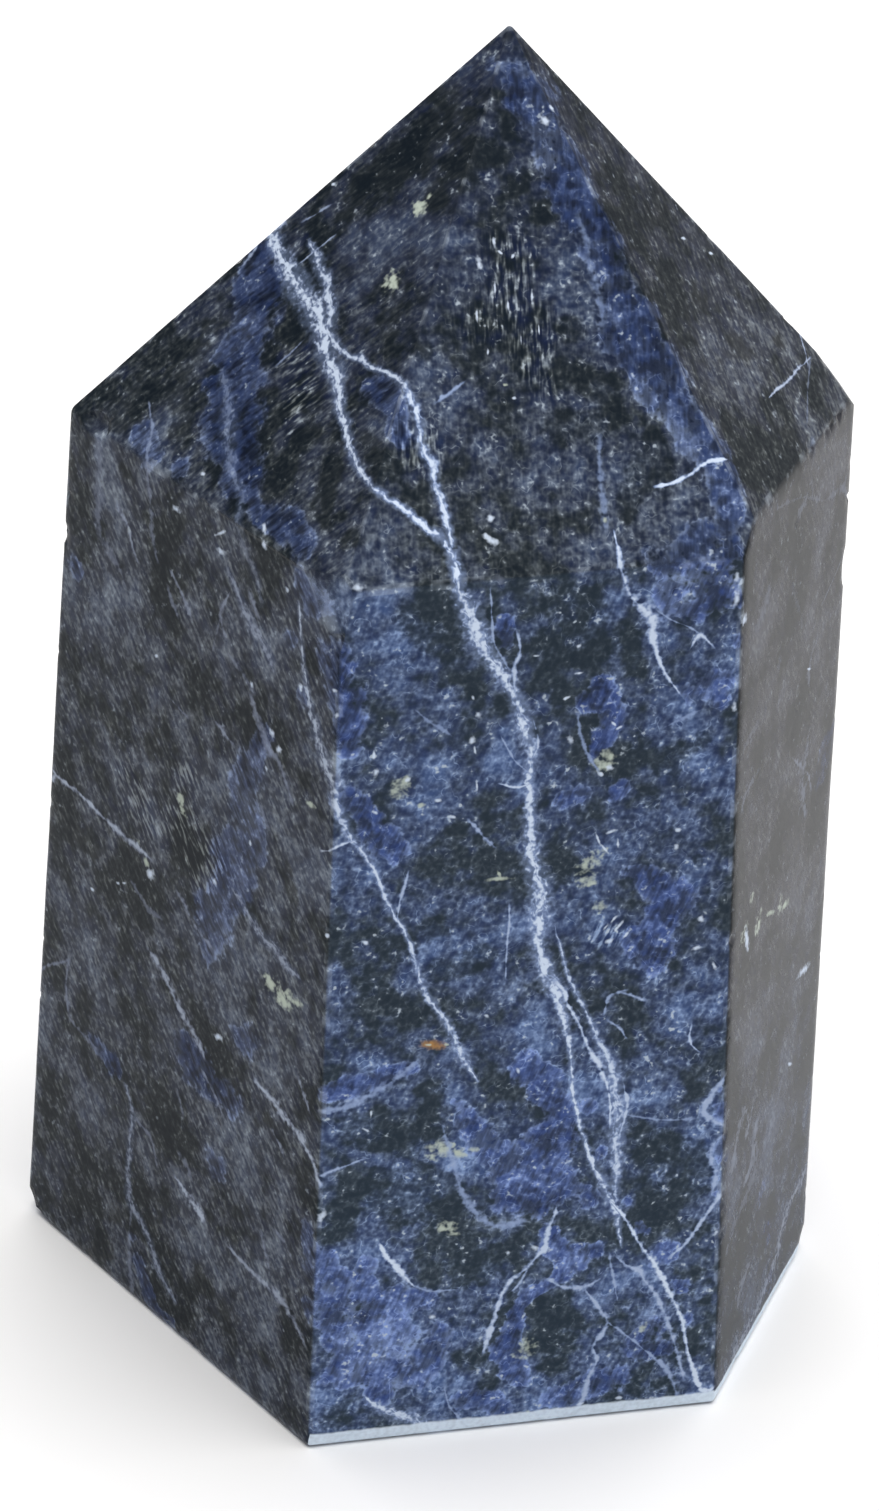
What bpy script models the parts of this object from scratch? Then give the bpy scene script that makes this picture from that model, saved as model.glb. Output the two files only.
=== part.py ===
"""A polished point of dark blue sodalite, cut from one stone.

Six flat sides rise from a flat sawn foot and six sloping faces close them to a tip,
as on a natural quartz crystal. The sides were ground by hand, so no two of them
stand at quite the same turn, lean or distance from the middle.
Metres, +Z up, the front face looking along -Y, the foot on z = 0.
"""

import math
from collections import namedtuple

import bmesh
import bpy
from mathutils import Vector

MM = 0.001

# The whole stone: where the six sloping faces meet above the foot.
TIP_HEIGHT = 90.0 * MM
TIP = Vector((0.0, 0.0, TIP_HEIGHT))

# The square block that the stone is ground from, wide enough to hold it on every side.
BLOCK_PER_HEIGHT = 2.5
ROUGH_BLOCK = BLOCK_PER_HEIGHT * TIP_HEIGHT

# Each facet pair is a side and the sloping face above it. Angles are in degrees.
# turn: which way the side looks, from the front round towards +X
# lean: how far the side leans back from upright, the stone being wider at the foot
# reach: from the stone's axis out to the side, at the foot
# cap_turn, cap_slope: which way the sloping face looks, and how steep it is
Facet = namedtuple("Facet", "turn lean reach cap_turn cap_slope")
FACETS = {
    "front": Facet(turn=0.0, lean=1.4, reach=23.6 * MM, cap_turn=-1.0, cap_slope=49.9),
    "right": Facet(turn=55.0, lean=3.2, reach=25.0 * MM, cap_turn=57.0, cap_slope=49.0),
    "back_right": Facet(turn=106.0, lean=0.4, reach=22.3 * MM, cap_turn=107.0, cap_slope=49.1),
    "back": Facet(turn=168.0, lean=1.4, reach=23.6 * MM, cap_turn=167.0, cap_slope=48.8),
    "back_left": Facet(turn=229.0, lean=2.4, reach=24.7 * MM, cap_turn=229.0, cap_slope=50.1),
    "left": Facet(turn=295.0, lean=0.4, reach=22.6 * MM, cap_turn=295.0, cap_slope=50.0),
}

# Corners where a side and a sloping face miss each other by less than this are one corner.
CORNER_MISS = 0.3 * MM

# Wear: how far each arris is eased back, most at the sawn foot and least towards the tip.
FOOT_EASE = 0.6 * MM
ARRIS_EASE = 0.3 * MM
TIP_EASE = 0.12 * MM
EASE_STEPS = 3

# Small chips where an arris was knocked: a shallow bite of a rounded shape, longer along the arris.
# along: how far from the first corner towards the second the bite is centred
Chip = namedtuple("Chip", "start end along radius depth")
CHIP_STRETCH = 1.5
CHIP_ROUNDNESS = 3

# A chip is knocked in towards the axis, from a corner at a slant: aimed no lower or higher than these.
MIDDLE_LOW = 0.25 * TIP_HEIGHT
MIDDLE_HIGH = 0.5 * TIP_HEIGHT

# Corners worn flat: how far the wear runs from the corner along each of three arrises.
Worn = namedtuple("Worn", "corner ends runs")
WORN_BLOCK = 12.0 * MM

SODALITE_BLUE = (0.022, 0.030, 0.075, 1.0)
POLISH_ROUGHNESS = 0.22


def outward(turn, rise):
    """Unit vector that looks out at turn degrees and up by rise degrees."""
    angle = math.radians(turn)
    across = math.cos(math.radians(rise))
    return Vector((across * math.sin(angle), -across * math.cos(angle), math.sin(math.radians(rise))))


def side_plane(name):
    """A point on the named side, and the way that side looks."""
    facet = FACETS[name]
    return outward(facet.turn, 0.0) * facet.reach, outward(facet.turn, facet.lean)


def cap_plane(name):
    """A point on the sloping face over the named side, and the way it looks."""
    facet = FACETS[name]
    return TIP, outward(facet.cap_turn, 90.0 - facet.cap_slope)


def foot_plane():
    """A point on the sawn foot, and the way it looks."""
    return Vector((0.0, 0.0, 0.0)), Vector((0.0, 0.0, -1.0))


def meeting(first, second, third):
    """The point where three planes meet."""
    (a, u), (b, v), (c, w) = first, second, third
    total = v.cross(w) * a.dot(u) + w.cross(u) * b.dot(v) + u.cross(v) * c.dot(w)
    return total / u.dot(v.cross(w))


def shoulder(name, neighbour):
    """The corner where two sides meet the sloping face over the first of them."""
    return meeting(side_plane(name), side_plane(neighbour), cap_plane(name))


def foot_corner(name, neighbour):
    """The corner where two sides meet the foot."""
    return meeting(side_plane(name), side_plane(neighbour), foot_plane())


CORNERS = {
    "tip": TIP,
    "left_shoulder": shoulder("left", "back_left"),
    "front_left_shoulder": shoulder("left", "front"),
    "front_right_shoulder": shoulder("front", "right"),
    "right_shoulder": shoulder("right", "back_right"),
    "back_left_shoulder": shoulder("back_left", "back"),
    "back_right_shoulder": shoulder("back_right", "back"),
    "left_foot": foot_corner("left", "back_left"),
    "front_left_foot": foot_corner("left", "front"),
    "front_right_foot": foot_corner("front", "right"),
    "right_foot": foot_corner("right", "back_right"),
    "back_left_foot": foot_corner("back_left", "back"),
    "back_right_foot": foot_corner("back_right", "back"),
}

CHIPS = {
    "chip_left_foot": Chip("left_foot", "left_shoulder", 0.2 * MM, 2.0 * MM, 0.75 * MM),
    "chip_left_foot_edge": Chip("left_foot", "front_left_foot", 1.4 * MM, 1.6 * MM, 0.45 * MM),
    "chip_right_foot": Chip("right_foot", "right_shoulder", 0.1 * MM, 2.4 * MM, 0.8 * MM),
    "chip_right_foot_edge": Chip("right_foot", "front_right_foot", 3.4 * MM, 2.2 * MM, 0.4 * MM),
    "chip_right_arris": Chip("right_shoulder", "right_foot", 12.4 * MM, 1.5 * MM, 0.5 * MM),
    "chip_left_shoulder": Chip("left_shoulder", "front_left_shoulder", 3.1 * MM, 1.4 * MM, 0.4 * MM),
    "chip_back_foot": Chip("back_left_foot", "back_right_foot", 9.0 * MM, 2.6 * MM, 0.5 * MM),
    "chip_back_arris": Chip("back_left_shoulder", "back_left_foot", 37.0 * MM, 1.6 * MM, 0.4 * MM),
    "chip_back_shoulder": Chip("back_right_shoulder", "back_left_shoulder", 6.0 * MM, 1.8 * MM, 0.35 * MM),
}

WORN_CORNERS = {
    "wear_front_left_shoulder": Worn(
        corner="front_left_shoulder",
        ends=("left_shoulder", "front_left_foot", "front_right_shoulder"),
        runs=(3.9 * MM, 4.6 * MM, 0.7 * MM),
    ),
    "wear_right_shoulder": Worn(
        corner="right_shoulder",
        ends=("tip", "right_foot", "front_right_shoulder"),
        runs=(4.4 * MM, 0.9 * MM, 1.1 * MM),
    ),
    "wear_back_left_shoulder": Worn(
        corner="back_left_shoulder",
        ends=("tip", "back_left_foot", "back_right_shoulder"),
        runs=(2.4 * MM, 1.6 * MM, 2.0 * MM),
    ),
}


def grind(stone, plane):
    """Take the stone down to a plane: whatever lies beyond it goes."""
    point, look = plane
    everything = stone.verts[:] + stone.edges[:] + stone.faces[:]
    cut = bmesh.ops.bisect_plane(stone, geom=everything, plane_co=point, plane_no=look, clear_outer=True)
    rim = [piece for piece in cut["geom_cut"] if isinstance(piece, bmesh.types.BMEdge)]
    bmesh.ops.contextual_create(stone, geom=rim)


def easing(edge):
    """How far one arris is eased back."""
    heights = [corner.co.z for corner in edge.verts]
    if max(heights) < CORNER_MISS:
        return FOOT_EASE
    if max(heights) > TIP_HEIGHT - CORNER_MISS:
        return TIP_EASE
    return ARRIS_EASE


def mark_arrises(stone):
    """Note on each arris the share of the full easing that it takes."""
    weight = stone.edges.layers.float.new("bevel_weight_edge")
    for edge in stone.edges:
        edge[weight] = easing(edge) / FOOT_EASE


def cut_stone(name, collection):
    """The stone as an object, ground from a square block, its arrises eased."""
    stone = bmesh.new()
    bmesh.ops.create_cube(stone, size=ROUGH_BLOCK)
    grind(stone, foot_plane())
    for facet in FACETS:
        grind(stone, side_plane(facet))
        grind(stone, cap_plane(facet))
    bmesh.ops.remove_doubles(stone, verts=stone.verts, dist=CORNER_MISS)
    bmesh.ops.recalc_face_normals(stone, faces=stone.faces)
    mark_arrises(stone)
    mesh = bpy.data.meshes.new(name)
    stone.to_mesh(mesh)
    stone.free()
    piece = bpy.data.objects.new(name, mesh)
    collection.objects.link(piece)
    ease = piece.modifiers.new("eased arrises", "BEVEL")
    ease.limit_method = "WEIGHT"
    ease.width = FOOT_EASE
    ease.segments = EASE_STEPS
    return piece


def cutter_object(name, shape, collection):
    """A cutter, shown in wire and left out of the model."""
    mesh = bpy.data.meshes.new(name)
    shape.to_mesh(mesh)
    shape.free()
    cutter = bpy.data.objects.new(name, mesh)
    cutter.display_type = "WIRE"
    cutter.hide_render = True
    collection.objects.link(cutter)
    return cutter


def away_from_middle(point):
    """Unit vector from the middle of the column out to a point on the stone."""
    middle_height = min(max(point.z, MIDDLE_LOW), MIDDLE_HIGH)
    return (point - Vector((0.0, 0.0, middle_height))).normalized()


def chip_cutter(name, chip, collection):
    """A pebble shape that bites into an arris."""
    start = CORNERS[chip.start]
    towards = (CORNERS[chip.end] - start).normalized()
    bitten = start + towards * chip.along
    pebble = bmesh.new()
    bmesh.ops.create_icosphere(pebble, subdivisions=CHIP_ROUNDNESS, radius=chip.radius)
    bmesh.ops.scale(pebble, vec=(1.0, 1.0, CHIP_STRETCH), verts=pebble.verts)
    cutter = cutter_object(name, pebble, collection)
    cutter.rotation_mode = "QUATERNION"
    cutter.rotation_quaternion = towards.to_track_quat("Z", "Y")
    cutter.location = bitten + away_from_middle(bitten) * (chip.radius - chip.depth)
    return cutter


def wear_cutter(name, worn, collection):
    """A block whose lower face lies on the flat that wear has left at a corner."""
    corner = CORNERS[worn.corner]
    reached = [corner + (CORNERS[end] - corner).normalized() * run for end, run in zip(worn.ends, worn.runs)]
    look = (reached[1] - reached[0]).cross(reached[2] - reached[0]).normalized()
    if look.dot(corner - reached[0]) < 0.0:
        look.negate()
    block = bmesh.new()
    bmesh.ops.create_cube(block, size=WORN_BLOCK)
    cutter = cutter_object(name, block, collection)
    cutter.rotation_mode = "QUATERNION"
    cutter.rotation_quaternion = look.to_track_quat("Z", "Y")
    cutter.location = sum(reached, Vector()) / len(reached) + look * (WORN_BLOCK / 2.0)
    return cutter


def take_away(piece, cutter):
    """Cut a cutter's shape out of the stone."""
    cut = piece.modifiers.new(cutter.name, "BOOLEAN")
    cut.operation = "DIFFERENCE"
    cut.solver = "EXACT"
    cut.object = cutter


def polished_stone():
    """The finish in its plainest form: one dark blue, with a hand polish."""
    finish = bpy.data.materials.new("polished_sodalite")
    finish.use_nodes = True
    shader = finish.node_tree.nodes["Principled BSDF"]
    shader.inputs["Base Color"].default_value = SODALITE_BLUE
    shader.inputs["Roughness"].default_value = POLISH_ROUGHNESS
    shader.inputs["Metallic"].default_value = 0.0
    finish.diffuse_color = SODALITE_BLUE
    return finish


def stand_centred(piece, axis):
    """Move the stone's axis so that the middle of its outline stands on the origin."""
    bpy.context.view_layer.update()
    worn = piece.evaluated_get(bpy.context.evaluated_depsgraph_get())
    corners = [worn.matrix_world @ Vector(corner) for corner in worn.bound_box]
    across = [corner.x for corner in corners]
    along = [corner.y for corner in corners]
    axis.location = (-(min(across) + max(across)) / 2.0, -(min(along) + max(along)) / 2.0, 0.0)


def main():
    for leftover in list(bpy.data.objects):
        bpy.data.objects.remove(leftover, do_unlink=True)
    model = bpy.data.collections.new("sodalite_point_model")
    cutters = bpy.data.collections.new("sodalite_point_cutters")
    bpy.context.scene.collection.children.link(model)
    bpy.context.scene.collection.children.link(cutters)

    piece = cut_stone("sodalite_point", model)
    piece.data.materials.append(polished_stone())
    axis = bpy.data.objects.new("stone_axis", None)
    model.objects.link(axis)
    piece.parent = axis
    tools = [wear_cutter(name, worn, cutters) for name, worn in WORN_CORNERS.items()]
    tools += [chip_cutter(name, chip, cutters) for name, chip in CHIPS.items()]
    for tool in tools:
        tool.parent = axis
        take_away(piece, tool)
    stand_centred(piece, axis)


main()
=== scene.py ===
# %% [markdown]
# # A polished sodalite point
# Sodalite is a dark blue stone with white veins. This piece was sawn flat underneath, ground by hand
# into six sides and six sloping faces that meet in a tip, and polished. The CAD part already has that
# shape. Here it gets its looks: the veins and blue patches in their places, the fine specks, scratches
# and worn arrises of a hand polish, and a plain table with soft light.
#
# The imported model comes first. Everything below is placed on it, in the same metres.

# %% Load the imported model
import math
import random
from collections import namedtuple

import bmesh
import bpy
import numpy as np
from mathutils import Matrix, Vector, noise
from mathutils.bvhtree import BVHTree
from mathutils.geometry import delaunay_2d_cdt
from mathutils.kdtree import KDTree


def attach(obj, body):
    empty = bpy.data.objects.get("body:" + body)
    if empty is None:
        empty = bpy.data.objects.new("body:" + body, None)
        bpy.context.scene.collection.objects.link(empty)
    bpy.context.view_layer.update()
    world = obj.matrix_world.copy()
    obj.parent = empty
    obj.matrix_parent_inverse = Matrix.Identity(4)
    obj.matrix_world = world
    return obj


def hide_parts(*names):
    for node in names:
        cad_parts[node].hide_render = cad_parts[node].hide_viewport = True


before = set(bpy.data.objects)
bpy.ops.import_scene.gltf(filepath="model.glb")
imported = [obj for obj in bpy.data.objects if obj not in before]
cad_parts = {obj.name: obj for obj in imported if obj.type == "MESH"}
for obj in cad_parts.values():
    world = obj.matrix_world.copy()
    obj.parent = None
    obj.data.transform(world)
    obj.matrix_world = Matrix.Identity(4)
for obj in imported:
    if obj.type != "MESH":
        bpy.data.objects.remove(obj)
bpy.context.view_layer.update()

MM = 0.001
STONE_NODE = "sodalite_point"
cad_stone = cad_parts[STONE_NODE]

# %% [markdown]
# The CAD mesh is a heap of loose triangles, good for the shape but with a few very long ones. A copy
# of it is merged into one closed skin, and the triangles of each flat facet are dissolved into a
# single polygon, so that each facet can be filled again with small even triangles further down.

# %% Merge a copy of the CAD stone
SAME_POINT = 0.002 * MM
FLAT_ENOUGH = math.radians(0.2)
stone = bmesh.new()
stone.from_mesh(cad_stone.data)
bmesh.ops.remove_doubles(stone, verts=stone.verts, dist=SAME_POINT)
bmesh.ops.dissolve_limit(stone, angle_limit=FLAT_ENOUGH, verts=stone.verts, edges=stone.edges, delimit=set())
loose = [edge for edge in stone.edges if len(edge.link_faces) != 2]
print("merged stone:", len(stone.verts), "corners,", len(stone.faces), "faces,", len(loose), "open edges")
tip = max((vert.co.copy() for vert in stone.verts), key=lambda point: point.z)
print("tip, in mm:", [round(value / MM, 2) for value in tip])

# %% [markdown]
# A stone's surface is one skin, so its pattern, pits and nicks are all carried by one mesh. The long
# arrises are first cut into short steps. Then each flat facet is filled with an even lattice of points
# joined by a Delaunay triangulation, which keeps every triangle flat on its facet and close to
# equal sided. The small faces of the eased arrises and the chips are just split into triangles.
# The lattice is fine enough that a vein's course is true between its points.

# %% Fill each facet with small even triangles
EDGE_STEP = 0.34 * MM
LATTICE_STEP = 0.44 * MM
FOOT_LATTICE_STEP = 1.2 * MM
FACET_AREA = 60.0 * MM**2
EDGE_CLEARANCE = 0.55


def split_long_edges(shape, step):
    """Cut every edge into equal lengths no longer than step, and leave the faces whole."""
    by_cuts = {}
    for edge in shape.edges:
        cuts = math.ceil(edge.calc_length() / step) - 1
        if cuts > 0:
            by_cuts.setdefault(cuts, []).append(edge)
    for cuts, edges in by_cuts.items():
        bmesh.ops.bisect_edges(shape, edges=edges, cuts=cuts)


def flat_axes(normal):
    """Two unit vectors along a facet: level across it, and up it."""
    across = Vector((0.0, 0.0, 1.0)).cross(normal)
    if across.length < 0.1:
        across = Vector((1.0, 0.0, 0.0))
    across.normalize()
    return across, normal.cross(across)


def lattice_inside(outline, step):
    """Points of a triangular lattice inside a flat outline, clear of its edge."""
    low, high = outline.min(axis=0), outline.max(axis=0)
    row_step = step * math.sqrt(3.0) / 2.0
    rows = np.arange(low[1], high[1], row_step)
    columns = np.arange(low[0], high[0] + step, step)
    grid = np.array([(x + (step / 2.0 if row % 2 else 0.0), y) for row, y in enumerate(rows) for x in columns])
    ahead = np.roll(outline, -1, axis=0)
    inside = np.zeros(len(grid), bool)
    for (x0, y0), (x1, y1) in zip(outline, ahead):
        if y0 == y1:
            continue
        beside = (grid[:, 1] > min(y0, y1)) & (grid[:, 1] <= max(y0, y1))
        inside ^= beside & (grid[:, 0] < x0 + (grid[:, 1] - y0) * (x1 - x0) / (y1 - y0))
    rim = KDTree(len(outline))
    for number, (x, y) in enumerate(outline):
        rim.insert((x, y, 0.0), number)
    rim.balance()
    clear = EDGE_CLEARANCE * step
    return [(x, y) for x, y in grid[inside] if rim.find((x, y, 0.0))[2] > clear]


def fill_face(face, step, points, triangles):
    """Add the triangles that fill one facet. points has one entry for each corner of the shape."""
    across, up = flat_axes(face.normal)
    corners = [vert.index for vert in face.verts]
    middle = face.calc_center_median()
    outline = np.array([((vert.co - middle).dot(across), (vert.co - middle).dot(up)) for vert in face.verts]) / MM
    extra = lattice_inside(outline, step / MM) if step else []
    flat = [Vector(place) for place in outline] + [Vector(place) for place in extra]
    rim = list(range(len(corners)))
    made, _, faces, sources, _, face_sources = delaunay_2d_cdt(flat, [], [rim], 1, 1e-6)
    numbers = []
    for place, source in zip(made, sources):
        if source and source[0] < len(corners):
            numbers.append(corners[source[0]])
        else:
            numbers.append(len(points))
            points.append(middle + (across * place.x + up * place.y) * MM)
    triangles.extend([numbers[corner] for corner in triangle] for triangle, source in zip(faces, face_sources) if source)


split_long_edges(stone, EDGE_STEP)
stone.verts.index_update()
stone.normal_update()
points = [vert.co.copy() for vert in stone.verts]
triangles = []
facet_looks = []
for face in stone.faces:
    if face.calc_area() < FACET_AREA:
        fill_face(face, None, points, triangles)
    else:
        fill_face(face, FOOT_LATTICE_STEP if face.normal.z < -0.9 else LATTICE_STEP, points, triangles)
        facet_looks.append(face.normal.copy())
stone.free()

mesh = bpy.data.meshes.new("sodalite_stone")
mesh.from_pydata([tuple(point) for point in points], [], triangles)
mesh.validate()
mesh.update()
print("fine mesh:", len(mesh.vertices), "points,", len(mesh.polygons), "triangles")

# %% [markdown]
# The photograph was taken with the stone a little above the table and turned by about fifteen degrees.
# The camera below stands where that photograph was taken from: its place, tilt and lens were worked out
# from the corners of the stone. The same camera is used as a pointer. A place in the photograph, given
# in pixels, is sent out as a ray, and where it meets the stone is where a vein or a patch lies. So the
# pattern sits on the stone itself, and stays there from every side.

# %% The photograph's camera
PHOTO_WIDTH, PHOTO_HEIGHT = 879.0, 1511.0
FOCAL_PIXELS = 4872.3
SENSOR = 36.0
DISTANCE = 323.3 * MM
AZIMUTH, ELEVATION, ROLL = (math.radians(angle) for angle in (-15.5, 30.9, 3.70))
AIM_FROM_AXIS = Vector((-1.27, 0.35)) * MM
AIM_HEIGHT = 37.82 * MM

look_level = Vector((-math.sin(AZIMUTH), math.cos(AZIMUTH), 0.0))
look = look_level * math.cos(ELEVATION) - Vector((0.0, 0.0, math.sin(ELEVATION)))
level_right = look.cross(Vector((0.0, 0.0, 1.0))).normalized()
level_up = level_right.cross(look)
right = level_right * math.cos(ROLL) + level_up * math.sin(ROLL)
up = level_up * math.cos(ROLL) - level_right * math.sin(ROLL)
aim = Vector((tip.x + AIM_FROM_AXIS.x, tip.y + AIM_FROM_AXIS.y, AIM_HEIGHT))
eye = aim - look * DISTANCE

camera = bpy.data.objects.new("camera", bpy.data.cameras.new("camera"))
bpy.context.scene.collection.objects.link(camera)
camera.matrix_world = Matrix.Translation(eye) @ Matrix((right, up, -look)).transposed().to_4x4()
camera.data.sensor_width = SENSOR
camera.data.lens = FOCAL_PIXELS / PHOTO_HEIGHT * SENSOR
camera.data.clip_start = 0.01
camera.data.clip_end = 20.0
bpy.context.scene.camera = camera
print("camera", round(camera.data.lens, 2), "mm lens,", round(DISTANCE / MM), "mm away")

# %% Point at the stone by pixel, or by turn and height
STONE_MIDDLE_PIXEL = (430.0, 750.0)
STEP_INWARD = 1.5
skin = BVHTree.FromPolygons([tuple(point) for point in points], triangles)


def pixel_of(place):
    """Where the camera sees a point, in pixels of the photograph."""
    beam = place - eye
    scale = FOCAL_PIXELS / beam.dot(look)
    return Vector((PHOTO_WIDTH / 2.0 + beam.dot(right) * scale, PHOTO_HEIGHT / 2.0 - beam.dot(up) * scale))


def ray_through(x, y):
    """The direction in which the camera sees a pixel of the photograph."""
    beside = right * ((x - PHOTO_WIDTH / 2.0) / FOCAL_PIXELS)
    above = up * ((PHOTO_HEIGHT / 2.0 - y) / FOCAL_PIXELS)
    return (look + beside + above).normalized()


def seen_at(x, y):
    """The point of the stone at a pixel. One just off its edge is moved inwards until it meets the stone."""
    inward = (Vector(STONE_MIDDLE_PIXEL) - Vector((x, y))).normalized() * STEP_INWARD
    for step in range(20):
        place, normal, _, _ = skin.ray_cast(eye, ray_through(x + inward.x * step, y + inward.y * step))
        if place is not None:
            return place
    raise ValueError(f"the stone isn't seen at pixel {x}, {y}")


def reached_at(turn, height):
    """The point of the stone at a turn round its axis, in degrees from the front, and a height in mm."""
    angle = math.radians(turn)
    inward = Vector((-math.sin(angle), math.cos(angle), 0.0))
    start = Vector((tip.x, tip.y, height * MM)) - inward * 0.1
    place, normal, _, _ = skin.ray_cast(start, inward)
    return place

# %% [markdown]
# The veins of sodalite are cracks that filled with a white mineral. Some are broad and frayed, with several strands and
# pale blue between them, others are a single thread. Each one below is a course of places in the photograph, with its
# full width there, all in the photograph's pixels. The number in front says how white it is. A vein is drawn later by
# the finish, which only needs to know, for each point of the stone, how far along and how far across the nearest vein
# it lies. That works at any size, where a painted picture would need millions of pixels.

# %% The veins seen in the photograph
BROAD_VEINS = {
    "main vein": (0.95, [
        (268, 229, 6), (272, 237, 10), (288, 269, 14), (299, 287, 16), (315, 310, 17), (322, 326, 15), (326, 350, 12),
        (338, 385, 9), (340, 412, 7), (344, 420, 7), (353, 456, 6), (362, 474, 5), (374, 487, 5), (403, 508, 5),
        (418, 521, 5), (433, 533, 6), (448, 544, 7), (456, 567, 8), (460, 592, 9), (470, 613, 14), (479, 640, 15),
        (492, 660, 11), (504, 679, 9), (514, 692, 9), (519, 704, 9), (525, 723, 12), (529, 738, 12), (532, 751, 9),
        (531, 767, 8), (528, 780, 7), (530, 795, 8), (530, 814, 8), (531, 834, 8), (531, 849, 9), (531, 861, 11),
        (535, 872, 11), (540, 886, 13), (541, 900, 16), (540, 915, 16), (540, 927, 14), (538, 941, 11),
        (541, 957, 10), (545, 972, 12), (553, 986, 12), (559, 1000, 9), (562, 1015, 8), (567, 1031, 6),
        (571, 1050, 4), (572, 1070, 3), (572, 1091, 3), (578, 1117, 3.5), (585, 1138, 4), (593, 1165, 5),
        (602, 1180, 6), (608, 1195, 6), (616, 1212, 6), (619, 1227, 4), (621, 1242, 2)]),
    "second strand at the top": (0.85, [
        (311, 244, 5), (317, 257, 8), (322, 273, 8), (329, 282, 8), (327, 296, 8), (331, 312, 8), (328, 332, 6),
        (340, 348, 6), (347, 355, 4), (363, 360, 5), (374, 369, 4), (388, 373, 4), (402, 382, 5), (408, 394, 6),
        (417, 412, 6), (420, 427, 6), (424, 452, 7), (433, 466, 7), (435, 483, 6), (441, 502, 6), (448, 527, 6),
        (452, 542, 4)]),
    "split beside the main vein": (0.8, [
        (556, 930, 1), (558, 938, 2), (562, 952, 2.5), (565, 965, 3), (569, 979, 3.5), (574, 988, 4),
        (581, 1000, 4), (587, 1013, 4), (592, 1025, 4), (597, 1038, 5), (603, 1050, 6), (610, 1063, 8),
        (614, 1079, 11), (615, 1095, 13), (617, 1110, 13), (617, 1125, 12), (616, 1140, 11), (616, 1155, 9),
        (617, 1170, 7), (616, 1185, 5), (616, 1199, 4)]),
    "second vein": (0.85, [
        (299, 606, 2), (301, 632, 2.5), (303, 659, 3), (306, 684, 3.5), (311, 711, 5), (317, 734, 7), (321, 751, 7),
        (326, 768, 8), (333, 785, 9), (335, 803, 9), (340, 816, 8), (347, 829, 7), (353, 843, 5), (363, 852, 4),
        (372, 868, 4), (382, 887, 4.5), (389, 906, 3.5), (398, 921, 3), (409, 941, 3.5), (414, 957, 4),
        (418, 971, 4.5), (423, 986, 5), (430, 1000, 5), (441, 1014, 5), (450, 1030, 6), (457, 1045, 7),
        (463, 1059, 7), (471, 1070, 4), (476, 1078, 2)]),
    "frayed end by the foot": (0.9, [
        (366, 1398, 2), (376, 1407, 5), (390, 1411, 7), (403, 1417, 9), (415, 1418, 9), (425, 1424, 9),
        (438, 1431, 7), (448, 1436, 4)]),
    "blue streaks on the far left slope": (0.28, [
        (222, 372, 6), (228, 400, 9), (229, 430, 12), (230, 452, 10), (231, 472, 7), (239, 489, 6), (242, 506, 5),
        (236, 524, 6), (242, 544, 5), (250, 563, 5), (258, 585, 4), (262, 604, 3)]),
    "streaks on the left side": (0.55, [
        (229, 573, 3), (238, 594, 4), (246, 615, 6), (252, 627, 8), (260, 637, 9), (268, 653, 5), (273, 668, 3)]),
    "low streak on the left side": (0.6, [
        (234, 892, 3), (248, 913, 5), (261, 935, 6), (274, 948, 7), (285, 964, 6), (298, 976, 3)]),
    "fork on the left side": (0.6, [
        (126, 1088, 2), (132, 1110, 3.5), (131, 1124, 3), (129, 1154, 3.5), (128, 1183, 4), (131, 1206, 4.5),
        (139, 1218, 4), (149, 1240, 3), (157, 1266, 5), (165, 1284, 3), (174, 1300, 2)]),
    "long line on the right side": (0.6, [
        (809, 1164, 3), (800, 1183, 4), (790, 1204, 4), (781, 1234, 4), (776, 1258, 4), (767, 1283, 4),
        (758, 1307, 5), (746, 1332, 6), (733, 1357, 6)]),
}
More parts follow.
